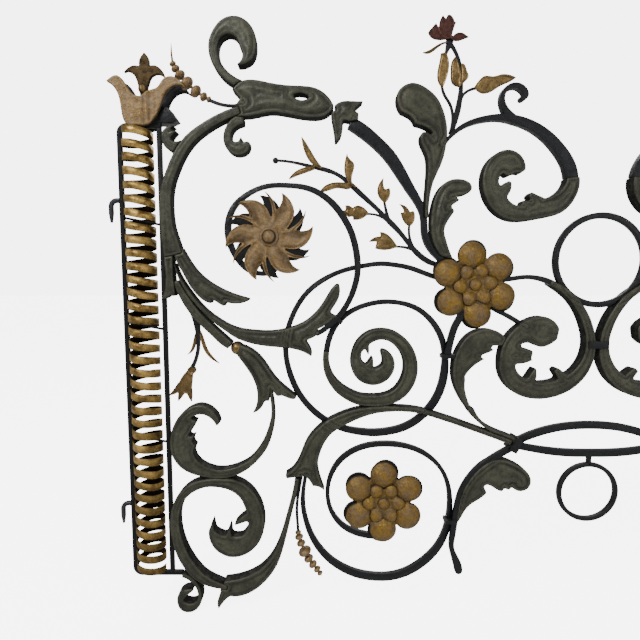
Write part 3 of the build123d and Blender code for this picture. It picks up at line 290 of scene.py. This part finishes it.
FINISHES = {
    # The leaf iron's near-black colour for the side walls is painted shade, part the dark iron behind the sheet.
    "leaf_iron": Finish("olive_leaf_iron", rgb(72, 73, 61), rgb(98, 98, 83), rgb(26, 26, 22), rgb(122, 120, 104),
                        metallic=0.3, roughness=0.34, patina_scale=34, rubbed=0.2, shade_and_darkening=rgb(8, 8, 9)),
    "bar_iron": Finish("charcoal_bar_iron", rgb(24, 26, 31), rgb(36, 38, 43), rgb(12, 12, 15), rgb(84, 82, 80),
                       metallic=0.3, roughness=0.38, patina_scale=60, rubbed=0.35),
    "post_iron": Finish("dusty_post_iron", rgb(20, 21, 24), rgb(36, 38, 40), rgb(9, 9, 10), rgb(92, 90, 84),
                        metallic=0.2, roughness=0.5, patina_scale=70, rubbed=0.4, dust=0.15, mirror=0.2),
    "hook_iron": Finish("rubbed_hook_iron", rgb(64, 64, 72), rgb(98, 96, 98), rgb(28, 26, 28), rgb(140, 136, 132),
                        metallic=0.6, roughness=0.36, patina_scale=90),
    # The ribbon's dark brown second colour is painted shade on its inner face and its darkening towards the bottom.
    "ribbon_gilt": Finish("ribbon_gilding", rgb(148, 124, 76), rgb(228, 198, 130), rgb(72, 56, 38), rgb(58, 46, 34),
                          metallic=0.85, roughness=0.22, rough_spread=0.3, patina_scale=44, rubbed=0.8,
                          shade_and_darkening=rgb(62, 50, 38)),
    "gilt": Finish("small_leaf_gilding", rgb(126, 108, 74), rgb(164, 142, 102), rgb(62, 50, 34), rgb(54, 44, 32),
                   metallic=0.75, roughness=0.28, patina_scale=70, rubbed=0.85),
    "rosette_bronze": Finish("rosette_gilding", rgb(152, 126, 62), rgb(136, 118, 94), rgb(62, 52, 34),
                             rgb(124, 112, 104), metallic=0.6, roughness=0.4, patina_scale=52, bump=0.0016,
                             rubbed=0.7),
    "sunflower_bronze": Finish("brown_gilding", rgb(142, 118, 76), rgb(162, 144, 120), rgb(62, 52, 42),
                               rgb(186, 160, 112), metallic=0.55, roughness=0.4, patina_scale=95, bump=0.001,
                               rubbed=0.45),
    "red_bronze": Finish("red_brown_petals", rgb(82, 48, 40), rgb(112, 74, 62), rgb(40, 28, 26), rgb(130, 106, 84),
                         metallic=0.4, roughness=0.45, patina_scale=90, rubbed=0.4),
}


# ---- Embossing and rounding
@dataclass(frozen=True)
class Relief:
    """How a flat CAD solid is worked into hand-raised metal.

    voxel is the grain of the new mesh; shoulder and drop round the edge off over that width and depth;
    flute and flute_depth set the grooves that follow the outline and fade out towards the middle; crown
    lifts the middle; hammer is the height of the uneven blows; the steep-slope value paints shade on the
    slopes of domes and the wall value paints the sides below the front sheet near black, part painted
    shade and part the dark iron behind the sheet; the flute-shade and side-shade values paint shade into
    the flutes and onto the side walls; the pleats are upright folds about a centre line.
    """

    voxel: float = 2.4 * MM
    shoulder: float = 4.5 * MM
    drop: float = 2.8 * MM
    flute: float = 11 * MM
    flute_depth: float = 1.4 * MM
    fade: float = 14 * MM
    crown: float = 0.0
    crown_width: float = 12 * MM
    hammer: float = 0.5 * MM
    hammer_size: float = 14 * MM
    smooth: int = 2
    # The next four values set painted shade: in the flutes, on the side walls, on steep slopes, and on the walls below
    # the front sheet.
    flute_shade: float = 0.5
    side_wall_shade: float = 0.9
    slope_shade: float = 0.0
    wall_shade: float = 0.0
    pleat: float = 12 * MM
    pleat_depth: float = 0.0
    pleat_centre: float = 0.0
    pleat_reach: float = 24 * MM


def merged_copy(node: str, frame: dict) -> bmesh.types.BMesh:
    """Copy a CAD node's mesh with its doubles merged.

    Args:
        node: the node's name.
        frame: the loaded frame.

    Returns:
        The copy as a bmesh.
    """
    work = bmesh.new()
    work.from_mesh(frame["nodes"][node].data)
    bmesh.ops.remove_doubles(work, verts=work.verts, dist=0.01 * MM)
    return work


def outline_tree(work: bmesh.types.BMesh, step: float) -> KDTree:
    """Put points along the outline of the front faces into a tree, flattened onto the panel's plane."""
    spots = []
    for edge in work.edges:
        if len(edge.link_faces) != 2:
            continue
        turned = [face.normal.y for face in edge.link_faces]
        if min(turned) < -0.9 and max(turned) > -0.6:
            start, end = (vert.co for vert in edge.verts)
            count = max(1, math.ceil((end - start).length / step))
            spots += [start.lerp(end, (i + 0.5) / count) for i in range(count)]
    tree = KDTree(len(spots))
    for index, spot in enumerate(spots):
        tree.insert((spot.x, 0, spot.z), index)
    tree.balance()
    return tree


def mark_bends(work: bmesh.types.BMesh, grain: float) -> None:
    """Add painted shade in the hollows, and add the ridges to the rim values.

    Args:
        work: an even mesh with rim values and painted shade values.
        grain: the usual length of its edges.
    """
    rim = work.verts.layers.float[Attribute.RIM.value]
    painted_shade = work.verts.layers.float[Attribute.PAINTED_SHADE.value]
    work.normal_update()
    for vert in work.verts:
        around = [edge.other_vert(vert).co for edge in vert.link_edges]
        bend = (sum(around, Vector()) / len(around) - vert.co).dot(vert.normal) / grain
        # Painted shade in the hollows.
        vert[painted_shade] = min(1.0, vert[painted_shade] + max(0.0, BEND_GAIN * bend - 0.1))
        vert[rim] = min(1.0, vert[rim] + max(0.0, -BEND_GAIN * bend - 0.25))


def remeshed(name: str, work: bmesh.types.BMesh, voxel: float) -> bmesh.types.BMesh:
    """Turn a closed shape into an even mesh of small quads and free the first one."""
    mesh = bpy.data.meshes.new(name)
    work.to_mesh(mesh)
    work.free()
    body = bpy.data.objects.new(name, mesh)
    bpy.context.scene.collection.objects.link(body)
    grain = body.modifiers.new("grain", "REMESH")
    grain.mode = "VOXEL"
    grain.voxel_size = voxel
    even = bpy.data.meshes.new_from_object(body.evaluated_get(bpy.context.evaluated_depsgraph_get()))
    bpy.data.objects.remove(body)
    bpy.data.meshes.remove(mesh)
    result = bmesh.new()
    result.from_mesh(even)
    bpy.data.meshes.remove(even)
    return result


def embossed(node: str, frame: dict, relief: Relief) -> bmesh.types.BMesh:
    """Work a CAD node into raised metal with grooves that follow its outline.

    Args:
        node: the node's name.
        frame: the loaded frame.
        relief: the depths and widths of the work.

    Returns:
        The embossed shape with its rim and groove values.
    """
    flat = merged_copy(node, frame)
    outline = outline_tree(flat, relief.voxel / 2)
    low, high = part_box(node)
    middle, half = (low[1] + high[1]) / 2, (high[1] - low[1]) / 2
    work = remeshed(node, flat, relief.voxel)
    for _ in range(relief.smooth):
        bmesh.ops.smooth_vert(work, verts=work.verts, factor=0.5, use_axis_x=True, use_axis_y=False, use_axis_z=True)
    rim, painted_shade, shade_and_darkening = (work.verts.layers.float.new(value.value) for value in Attribute)
    for vert in work.verts:
        distance = outline.find((vert.co.x, 0, vert.co.z))[2] or FAR
        level = (vert.co.y - middle) / half
        face = max(0.0, min(1.0, (abs(level) - 0.45) / 0.5))
        near = 1 - min(distance / relief.shoulder, 1)
        wave = (0.5 - 0.5 * math.cos(2 * math.pi * distance / relief.flute)) * math.exp(-distance / relief.fade)
        wave *= 1 + 0.6 * noise.noise(vert.co / UNEVEN)
        drop = relief.drop * (1 - math.sqrt(1 - near * near)) + relief.flute_depth * wave * (1 - near * near)
        drop -= relief.crown * math.sin(min(distance / relief.crown_width, 1) * math.pi / 2)
        aside = abs(vert.co.x) - relief.pleat_centre
        pleated = max(0.0, 1 - abs(aside) / relief.pleat_reach) * (0.5 - 0.5 * math.cos(
            2 * math.pi * aside / relief.pleat))
        drop += relief.pleat_depth * pleated * (1 - near)
        blow = relief.hammer * noise.noise(vert.co / relief.hammer_size)
        vert[rim] = max(0.0, 1 - distance / (2.5 * MM)) * (1 if level < 0 else 0.5)
        # Painted shade in the flutes and pleats of the front and back, and on the side walls.
        hollow = wave * relief.flute_shade + pleated * relief.pleat_depth / (5 * MM)
        vert[painted_shade] = face * hollow * (1 - near) + (1 - face) * relief.side_wall_shade
        # Painted shade that blackens the side walls below the front sheet.
        vert[shade_and_darkening] = relief.wall_shade * max(0.0, min(1.0, (0.96 - abs(level)) / 0.14))
        vert.co.y -= math.copysign(face * (drop + blow), level)
    mark_bends(work, relief.voxel)
    # Painted shade on the steep slopes of domes.
    if relief.slope_shade:
        for vert in work.verts:
            slope = max(0.0, min(1.0, (0.68 - abs(vert.normal.y)) / 0.15))
            vert[painted_shade] = min(1.0, vert[painted_shade] + relief.slope_shade * slope)
    return work


def rounded(node: str, frame: dict, edge: float) -> bmesh.types.BMesh:
    """Round the sharp edges of a CAD node's copy.

    Args:
        node: the node's name.
        frame: the loaded frame.
        edge: how far the rounding reaches from each edge.

    Returns:
        The rounded shape.
    """
    work = merged_copy(node, frame)
    bmesh.ops.dissolve_limit(work, angle_limit=math.radians(1.0), verts=work.verts, edges=work.edges)
    sharp = [edge_ for edge_ in work.edges if len(edge_.link_faces) == 2 and edge_.calc_face_angle() > math.radians(40)]
    bmesh.ops.bevel(work, geom=sharp, offset=edge, segments=2, profile=0.5, affect="EDGES", clamp_overlap=True,
                    material=-1)
    return work


# ---- Sub-assemblies
class Workshop:
    """Holds the frame and the finishes, and hands finished pieces to the frame."""

    def __init__(self, frame: dict) -> None:
        """Build the shared groups and every finish.

        Args:
            frame: the loaded frame.
        """
        self.frame = frame
        groups = {tree.name: tree for tree in (patina_group(), hammer_group(), edge_wear_and_shade_group(), dust_group())}
        self.materials = {slot: finish.material(groups) for slot, finish in FINISHES.items()}
        self.slots = {entry["node"]: entry["material_slot"] for entry in frame["record"]["subparts"]}

    def dress_nodes(self) -> None:
        """Give every CAD node its finish."""
        for node, body in self.frame["nodes"].items():
            body.data.materials.clear()
            body.data.materials.append(self.materials[self.slots[node]])

    def stand_for(self, node: str, name: str, work: bmesh.types.BMesh) -> bpy.types.Object:
        """Make a piece of a shape, dress it, and let it stand for a CAD node.

        Args:
            node: the node that the piece stands for.
            name: the piece's name.
            work: the shape, which is freed.

        Returns:
            The piece.
        """
        mesh = bpy.data.meshes.new(name)
        work.to_mesh(mesh)
        work.free()
        mesh.shade_smooth()
        mesh.materials.append(self.materials[self.slots[node]])
        piece = bpy.data.objects.new(name, mesh)
        bpy.context.scene.collection.objects.link(piece)
        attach(piece, "root")
        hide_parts(node)
        LOG.info("%s: %d faces", name, len(mesh.polygons))
        return piece


@dataclass
class LeafWork:
    """The embossed olive leaves and leaf scrolls."""

    shop: Workshop
    scrolls: tuple[str, ...] = ("side_scrolls", "husk_curls", "small_curls", "knob_branches", "c_scrolls",
                                "foot_curls", "top_spirals", "inner_spirals", "spiral_leaves", "tailed_leaves",
                                "crescents")
    leaves: tuple[str, ...] = ("top_husks", "collar_leaves", "calyxes", "main_leaves", "sheath_leaves",
                               "knob_husks", "lower_sheaths", "acanthus_bars", "tall_leaves", "lobed_leaves",
                               "lower_leaves")
    # Both reliefs paint shade into the flutes and paint the walls below the front sheet near black as shade.
    scroll_relief: Relief = Relief(shoulder=7 * MM, drop=4 * MM, flute=13 * MM, flute_depth=2.6 * MM,
                                   flute_shade=0.4, side_wall_shade=0.0, wall_shade=1.0)
    leaf_relief: Relief = Relief(shoulder=8 * MM, drop=5 * MM, flute=17 * MM, flute_depth=4.5 * MM,
                                 fade=18 * MM, flute_shade=0.4, side_wall_shade=0.0, wall_shade=1.0)

    def build(self) -> None:
        """Emboss every leaf and scroll."""
        for nodes, relief in ((self.scrolls, self.scroll_relief), (self.leaves, self.leaf_relief)):
            for node in nodes:
                self.shop.stand_for(node, f"embossed_{node}", embossed(node, self.shop.frame, relief))


@dataclass
class Gilding:
    """Palmettes, finials, small leaves and petals."""

    shop: Workshop
    plate_relief: Relief = Relief(voxel=1.5 * MM, drop=0.0, shoulder=3 * MM, flute=40 * MM, flute_depth=0.0,
                                  crown=4 * MM, crown_width=8 * MM, hammer=0.5 * MM, hammer_size=9 * MM)
    foils: tuple[str, ...] = ("small_gilt_leaves", "carnation_foils", "bluebells")
    foil_relief: Relief = Relief(voxel=1.1 * MM, drop=0.0, shoulder=2 * MM, flute=40 * MM, flute_depth=0.0,
                                 crown=3 * MM, crown_width=6 * MM, hammer=0.4 * MM, hammer_size=7 * MM)
    crowns: tuple[str, ...] = ("palmette_fronts", "fleur_finials")
    crown_relief: Relief = Relief(voxel=1.5 * MM, drop=2 * MM, shoulder=4 * MM, flute=22 * MM, flute_depth=1.5 * MM,
                                  flute_shade=0.2, pleat_centre=888 * MM, pleat_depth=1.5 * MM)
    petal_foot: float = 1150 * MM

    def build(self) -> None:
        """Emboss the gilt pieces."""
        for nodes, relief in ((self.foils, self.foil_relief), (self.crowns, self.crown_relief)):
            for node in nodes:
                self.shop.stand_for(node, f"raised_{node}", embossed(node, self.shop.frame, relief))
        self.gild_below(bpy.data.objects["raised_carnation_foils"])

    def gild_below(self, piece: bpy.types.Object) -> None:
        """Gild the leaves below the red petals.

        Args:
            piece: the piece with the petals and the leaves.
        """
        piece.data.materials.append(self.shop.materials["gilt"])
        for face in piece.data.polygons:
            face.material_index = int(face.center.z < self.petal_foot)


@dataclass
class Flowers:
    """Rosettes, sunflower bosses and knobs, with black plates behind them."""

    shop: Workshop
    domes: tuple[str, ...] = ("rosette_petals", "rosette_florets", "rosette_bosses", "sunflower_bosses", "knobs")
    # The domes get painted shade on their steep slopes and a little on their sides.
    dome_relief: Relief = Relief(voxel=1.8 * MM, drop=0.0, shoulder=2 * MM, flute_depth=0.0, hammer=0.7 * MM,
                                 hammer_size=11 * MM, smooth=1, flute_shade=0.0, side_wall_shade=0.1, slope_shade=0.9)
    backs: tuple[str, ...] = ("rosette_backs", "sunflower_backs", "palmette_backs")
    back_relief: Relief = Relief(voxel=1.8 * MM, drop=0.0, shoulder=3 * MM, flute_depth=0.0, hammer=0.5 * MM)
    flower_centre: tuple[float, float] = (-655 * MM, 785 * MM)
    collar: float = 22 * MM
    bend_start: float = 50 * MM
    bend_length: float = 39 * MM
    broad_fold: tuple[float, float, float, float] = (44, 30, 15 * MM, 3.4 * MM)
    thin_fold: tuple[float, float, float, float] = (78, 14, 6 * MM, 3.6 * MM)

    def build(self) -> None:
        """Raise the domes, the plates behind them and the sunflower's petals."""
        for nodes, relief in ((self.domes, self.dome_relief), (self.backs, self.back_relief)):
            for node in nodes:
                self.shop.stand_for(node, f"raised_{node}", embossed(node, self.shop.frame, relief))
        self.sunflower()

    def fold(self, reach: float, angle: float, ridge: tuple[float, float, float, float]) -> float:
        """How far up a ridge of the sunflower's petals a point lies.

        Args:
            reach: the point's distance from the flower's centre.
            angle: its angle round the centre, in radians.
            ridge: the ridge's angle and the turn of its tip in degrees, then its half width and its height.

        Returns:
            The height of the ridge there.
        """
        start, turn, width, height = ridge
        shade_with_grime = max(0.0, min(1.0, (reach - self.bend_start) / self.bend_length)) ** 2
        off = (math.degrees(angle) - start - turn * shade_with_grime + 30) % 60 - 30
        return height * max(0.0, 1 - abs(math.radians(off)) * reach / width)

    def sunflower(self) -> None:
        """Fold the sunflower's front plate into a ridge for each broad and each thin petal, with painted shade in the
        valleys.
        """
        relief = Gilding.plate_relief
        work = embossed("sunflower_fronts", self.shop.frame, relief)
        rim = work.verts.layers.float[Attribute.RIM.value]
        painted_shade = work.verts.layers.float[Attribute.PAINTED_SHADE.value]
        for vert in work.verts:
            side = -abs(vert.co.x) - self.flower_centre[0]
            rise = vert.co.z - self.flower_centre[1]
            reach, angle = math.hypot(side, rise), math.atan2(rise, side)
            height = max(self.fold(reach, angle, self.broad_fold), self.fold(reach, angle, self.thin_fold))
            share = height / self.thin_fold[3]
            shown = max(0.0, min(1.0, (reach - self.collar) / (8 * MM)))
            vert.co.y += (self.thin_fold[3] - height - 1.2 * MM) * shown
            # Painted shade in the valleys between the petal ridges.
            vert[painted_shade] = min(1.0, vert[painted_shade] + shown * 0.45 * max(0.0, 1 - 2.2 * share))
            vert[rim] = min(1.0, vert[rim] + shown * max(0.0, 3 * share - 2))
        self.shop.stand_for("sunflower_fronts", "raised_sunflower_fronts", work)


@dataclass
class BeadRows:
    """The graded beads threaded on their thin tips, as (x, z, radius) on the left half."""

    shop: Workshop
    depth: float = 1 * MM
    spray: tuple[tuple[float, float, float], ...] = (
        (-771, 1049, 6), (-781, 1054, 9), (-796, 1064, 12.5), (-813, 1079, 14), (-826, 1094, 11), (-834, 1106, 8.5),
        (-839, 1115, 6.5))
    drop: tuple[tuple[float, float, float], ...] = (
        (-602, 171, 6.5), (-600, 161, 9), (-596, 147, 9.5), (-588, 129, 14), (-580, 113, 10.5), (-571, 100, 9.5),
        (-562, 89, 8), (-556, 80, 6))
    spray_tip: tuple[tuple[float, float, float], ...] = (
        (-771, 1049, 3), (-796, 1064, 3), (-826, 1094, 3), (-839, 1115, 2.4), (-841, 1133, 1.8), (-841, 1152, 0.6))
    drop_tip: tuple[tuple[float, float, float], ...] = (
        (-602, 171, 3), (-596, 147, 3), (-580, 113, 3), (-562, 89, 2.6), (-552, 74, 0.6))
    flat: float = 0.68

    def build(self) -> None:
        """Thread both rows and mirror them."""
        work = bmesh.new()
        for beads, tip in ((self.spray, self.spray_tip), (self.drop, self.drop_tip)):
            for before, bead, after in zip((beads[0], *beads[:-1]), beads, (*beads[1:], beads[-1])):
                self.bead(work, bead, Vector((after[0] - before[0], 0, after[1] - before[1])))
            for start, end in zip(tip, tip[1:]):
                self.link(work, start, end)
        twins = bmesh.ops.duplicate(work, geom=work.verts[:] + work.edges[:] + work.faces[:])["geom"]
        bmesh.ops.scale(work, vec=(-1, 1, 1), verts=[part for part in twins if isinstance(part, bmesh.types.BMVert)])
        bmesh.ops.recalc_face_normals(work, faces=work.faces)
        self.shop.stand_for("bead_rows", "threaded_beads", work)

    def bead(self, work: bmesh.types.BMesh, spot: tuple[float, float, float], along: Vector) -> None:
        """Add one bead, flattened along its row."""
        turn = Vector((0, 0, 1)).rotation_difference(along).to_matrix().to_4x4()
        place = Matrix.Translation((spot[0] * MM, self.depth, spot[1] * MM)) @ turn @ Matrix.Diagonal(
            (1, 1, self.flat, 1))
        bmesh.ops.create_uvsphere(work, u_segments=28, v_segments=16, radius=spot[2] * MM, matrix=place)

    def link(self, work: bmesh.types.BMesh, start: tuple[float, float, float],
             end: tuple[float, float, float]) -> None:
        """Add one tapered length of the wire between two points."""
        low, high = (Vector((x * MM, self.depth, z * MM)) for x, z, _ in (start, end))
        turn = Vector((0, 0, 1)).rotation_difference(high - low).to_matrix().to_4x4()
        bmesh.ops.create_cone(work, cap_ends=True, segments=14, radius1=start[2] * MM, radius2=end[2] * MM,
                              depth=(high - low).length, matrix=Matrix.Translation((low + high) / 2) @ turn)


@dataclass
class EndColumns:
    """The gilt ribbons wound inside the end posts."""

    shop: Workshop
    band: float = 1.6 * MM
    wobble: float = 2.2 * MM
    wobble_size: float = 45 * MM
    # How much the ribbons darken towards the bottom, and over what height.
    bottom_darkening: float = 0.5
    darkening_height: float = 700 * MM

    def build(self) -> None:
        """Give each ribbon painted shade on its inner face, a darkening towards the bottom with random spots, and the
        unevenness of hand winding.
        """
        work = merged_copy("gilt_ribbons", self.shop.frame)
        work.normal_update()
        shade_and_darkening = work.verts.layers.float.new(Attribute.INSIDE.value)
        low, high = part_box("gilt_ribbons")
        radius = (high.y - low.y) / 2
        for vert in work.verts:
            outward = Vector((abs(vert.co.x) - high.x + radius, vert.co.y, 0))
            # Darker towards the bottom.
            bottom_darkening = self.bottom_darkening * max(0.0, 1 - (vert.co.z - low.z) / self.darkening_height)
            spots = 0.5 + noise.noise(vert.co / self.wobble_size)
            # Painted shade on the inner face; elsewhere darker towards the bottom, with random spots.
            vert[shade_and_darkening] = 1.0 if outward.length < radius - self.band / 2 else min(1.0, bottom_darkening + 0.3 * spots)
            vert.co.z += self.wobble * noise.noise(vert.co / self.wobble_size)
        self.shop.stand_for("gilt_ribbons", "wound_gilt_ribbons", work)


@dataclass
class BarWork:
    """The ring bars, arches and stems with their edges rounded."""

    shop: Workshop
    rings: tuple[str, ...] = ("sunflower_rings", "spiral_bars", "berry_rings", "lower_bars", "rosette_bars",
                              "rosette_drops", "centre_rings", "centre_bars", "arch_bars", "top_arches")
    ring_edge: float = 1.6 * MM
    stems: tuple[str, ...] = ("sprig_stems", "carnation_stems", "bead_stems", "bluebell_stems", "cap_straps",
                              "frame_bars", "inner_posts", "ties")
    stem_edge: float = 0.8 * MM

    def build(self) -> None:
        """Round every bar."""
        for nodes, edge in ((self.rings, self.ring_edge), (self.stems, self.stem_edge)):
            for node in nodes:
                self.shop.stand_for(node, f"forged_{node}", rounded(node, self.shop.frame, edge))


@dataclass
class Studio:
    """Floor, light and camera of the photograph's view."""

    target: Vector = field(default_factory=lambda: Vector((-0.556, -0.008, 0.6214)))
    eye: Vector = field(default_factory=lambda: Vector((-0.556, -0.964, 0.713)))
    lens: float = 27.0
    floor_size: float = 30.0
    room: float = 0.55
    backdrop: float = 5.5

    def build(self) -> None:
        """Set up the whole stage."""
        self.floor()
        self.sky()
        self.lamp("key_light", Vector((-2.2, -2.6, 2.9)), 1.4, 150.0)
        self.lamp("fill_light", Vector((1.8, -2.8, 1.6)), 2.4, 50.0)
        self.lamp("back_light", Vector((0.3, 2.4, 2.6)), 2.0, 40.0)
        self.camera()

    def floor(self) -> None:
        """Add the plain pale floor."""
        work = bmesh.new()
        bmesh.ops.create_grid(work, x_segments=1, y_segments=1, size=self.floor_size / 2)
        mesh = bpy.data.meshes.new("pale_floor")
        work.to_mesh(mesh)
        work.free()
        material = bpy.data.materials.new("pale_floor")
        material.use_nodes = True
        nodes = NodeTree(material.node_tree)
        shader = material.node_tree.nodes["Principled BSDF"]
        shader.inputs["Base Color"].default_value = (0.86, 0.86, 0.86, 1.0)
        shader.inputs["Roughness"].default_value = 0.9
        seen = nodes.add("ShaderNodeLightPath").outputs["Is Camera Ray"]
        glow = nodes.mix(seen, (0.0, 0.0, 0.0, 1.0), (1.0, 1.0, 1.0, 1.0))
        nodes.tree.links.new(glow, shader.inputs["Emission Color"])
        shader.inputs["Emission Strength"].default_value = self.backdrop
        mesh.materials.append(material)
        floor = bpy.data.objects.new("pale_floor", mesh)
        bpy.context.scene.collection.objects.link(floor)

    def sky(self) -> None:
        """Add the even pale surroundings."""
        world = bpy.data.worlds.new("pale_room")
        world.use_nodes = True
        nodes = NodeTree(world.node_tree)
        backdrop = world.node_tree.nodes["Background"]
        seen = nodes.add("ShaderNodeLightPath").outputs["Is Camera Ray"]
        strength = nodes.math("ADD", nodes.math("MULTIPLY", seen, self.backdrop - self.room), self.room)
        nodes.tree.links.new(strength, backdrop.inputs["Strength"])
        backdrop.inputs["Color"].default_value = (1.0, 1.0, 1.0, 1.0)
        bpy.context.scene.world = world

    def lamp(self, name: str, place: Vector, size: float, power: float) -> None:
        """Add a soft area light that faces the panel's shown half.

        Args:
            name: the light's name.
            place: where it stands.
            size: the side of its square.
            power: its power in watts.
        """
        light = bpy.data.lights.new(name, "AREA")
        light.size = size
        light.energy = power
        lamp = bpy.data.objects.new(name, light)
        lamp.location = place
        lamp.rotation_euler = (self.target - place).to_track_quat("-Z", "Y").to_euler()
        bpy.context.scene.collection.objects.link(lamp)

    def camera(self) -> None:
        """Add the camera at the photograph's place."""
        data = bpy.data.cameras.new("photo_camera")
        data.lens = self.lens
        data.sensor_width = 36.0
        data.clip_end = 60.0
        camera = bpy.data.objects.new("photo_camera", data)
        camera.location = self.eye
        camera.rotation_euler = (self.target - self.eye).to_track_quat("-Z", "Y").to_euler()
        bpy.context.scene.collection.objects.link(camera)
        bpy.context.scene.camera = camera


def main() -> None:
    """Build the stage and every sub-assembly."""
    logging.basicConfig(level=logging.INFO)
    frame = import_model()
    Studio().build()
    shop = Workshop(frame)
    shop.dress_nodes()
    for assembly in (EndColumns(shop), LeafWork(shop), Gilding(shop), Flowers(shop),
                     BeadRows(shop), BarWork(shop)):
        assembly.build()
        LOG.info("built %s", type(assembly).__name__)


if __name__ == "__main__":
    main()
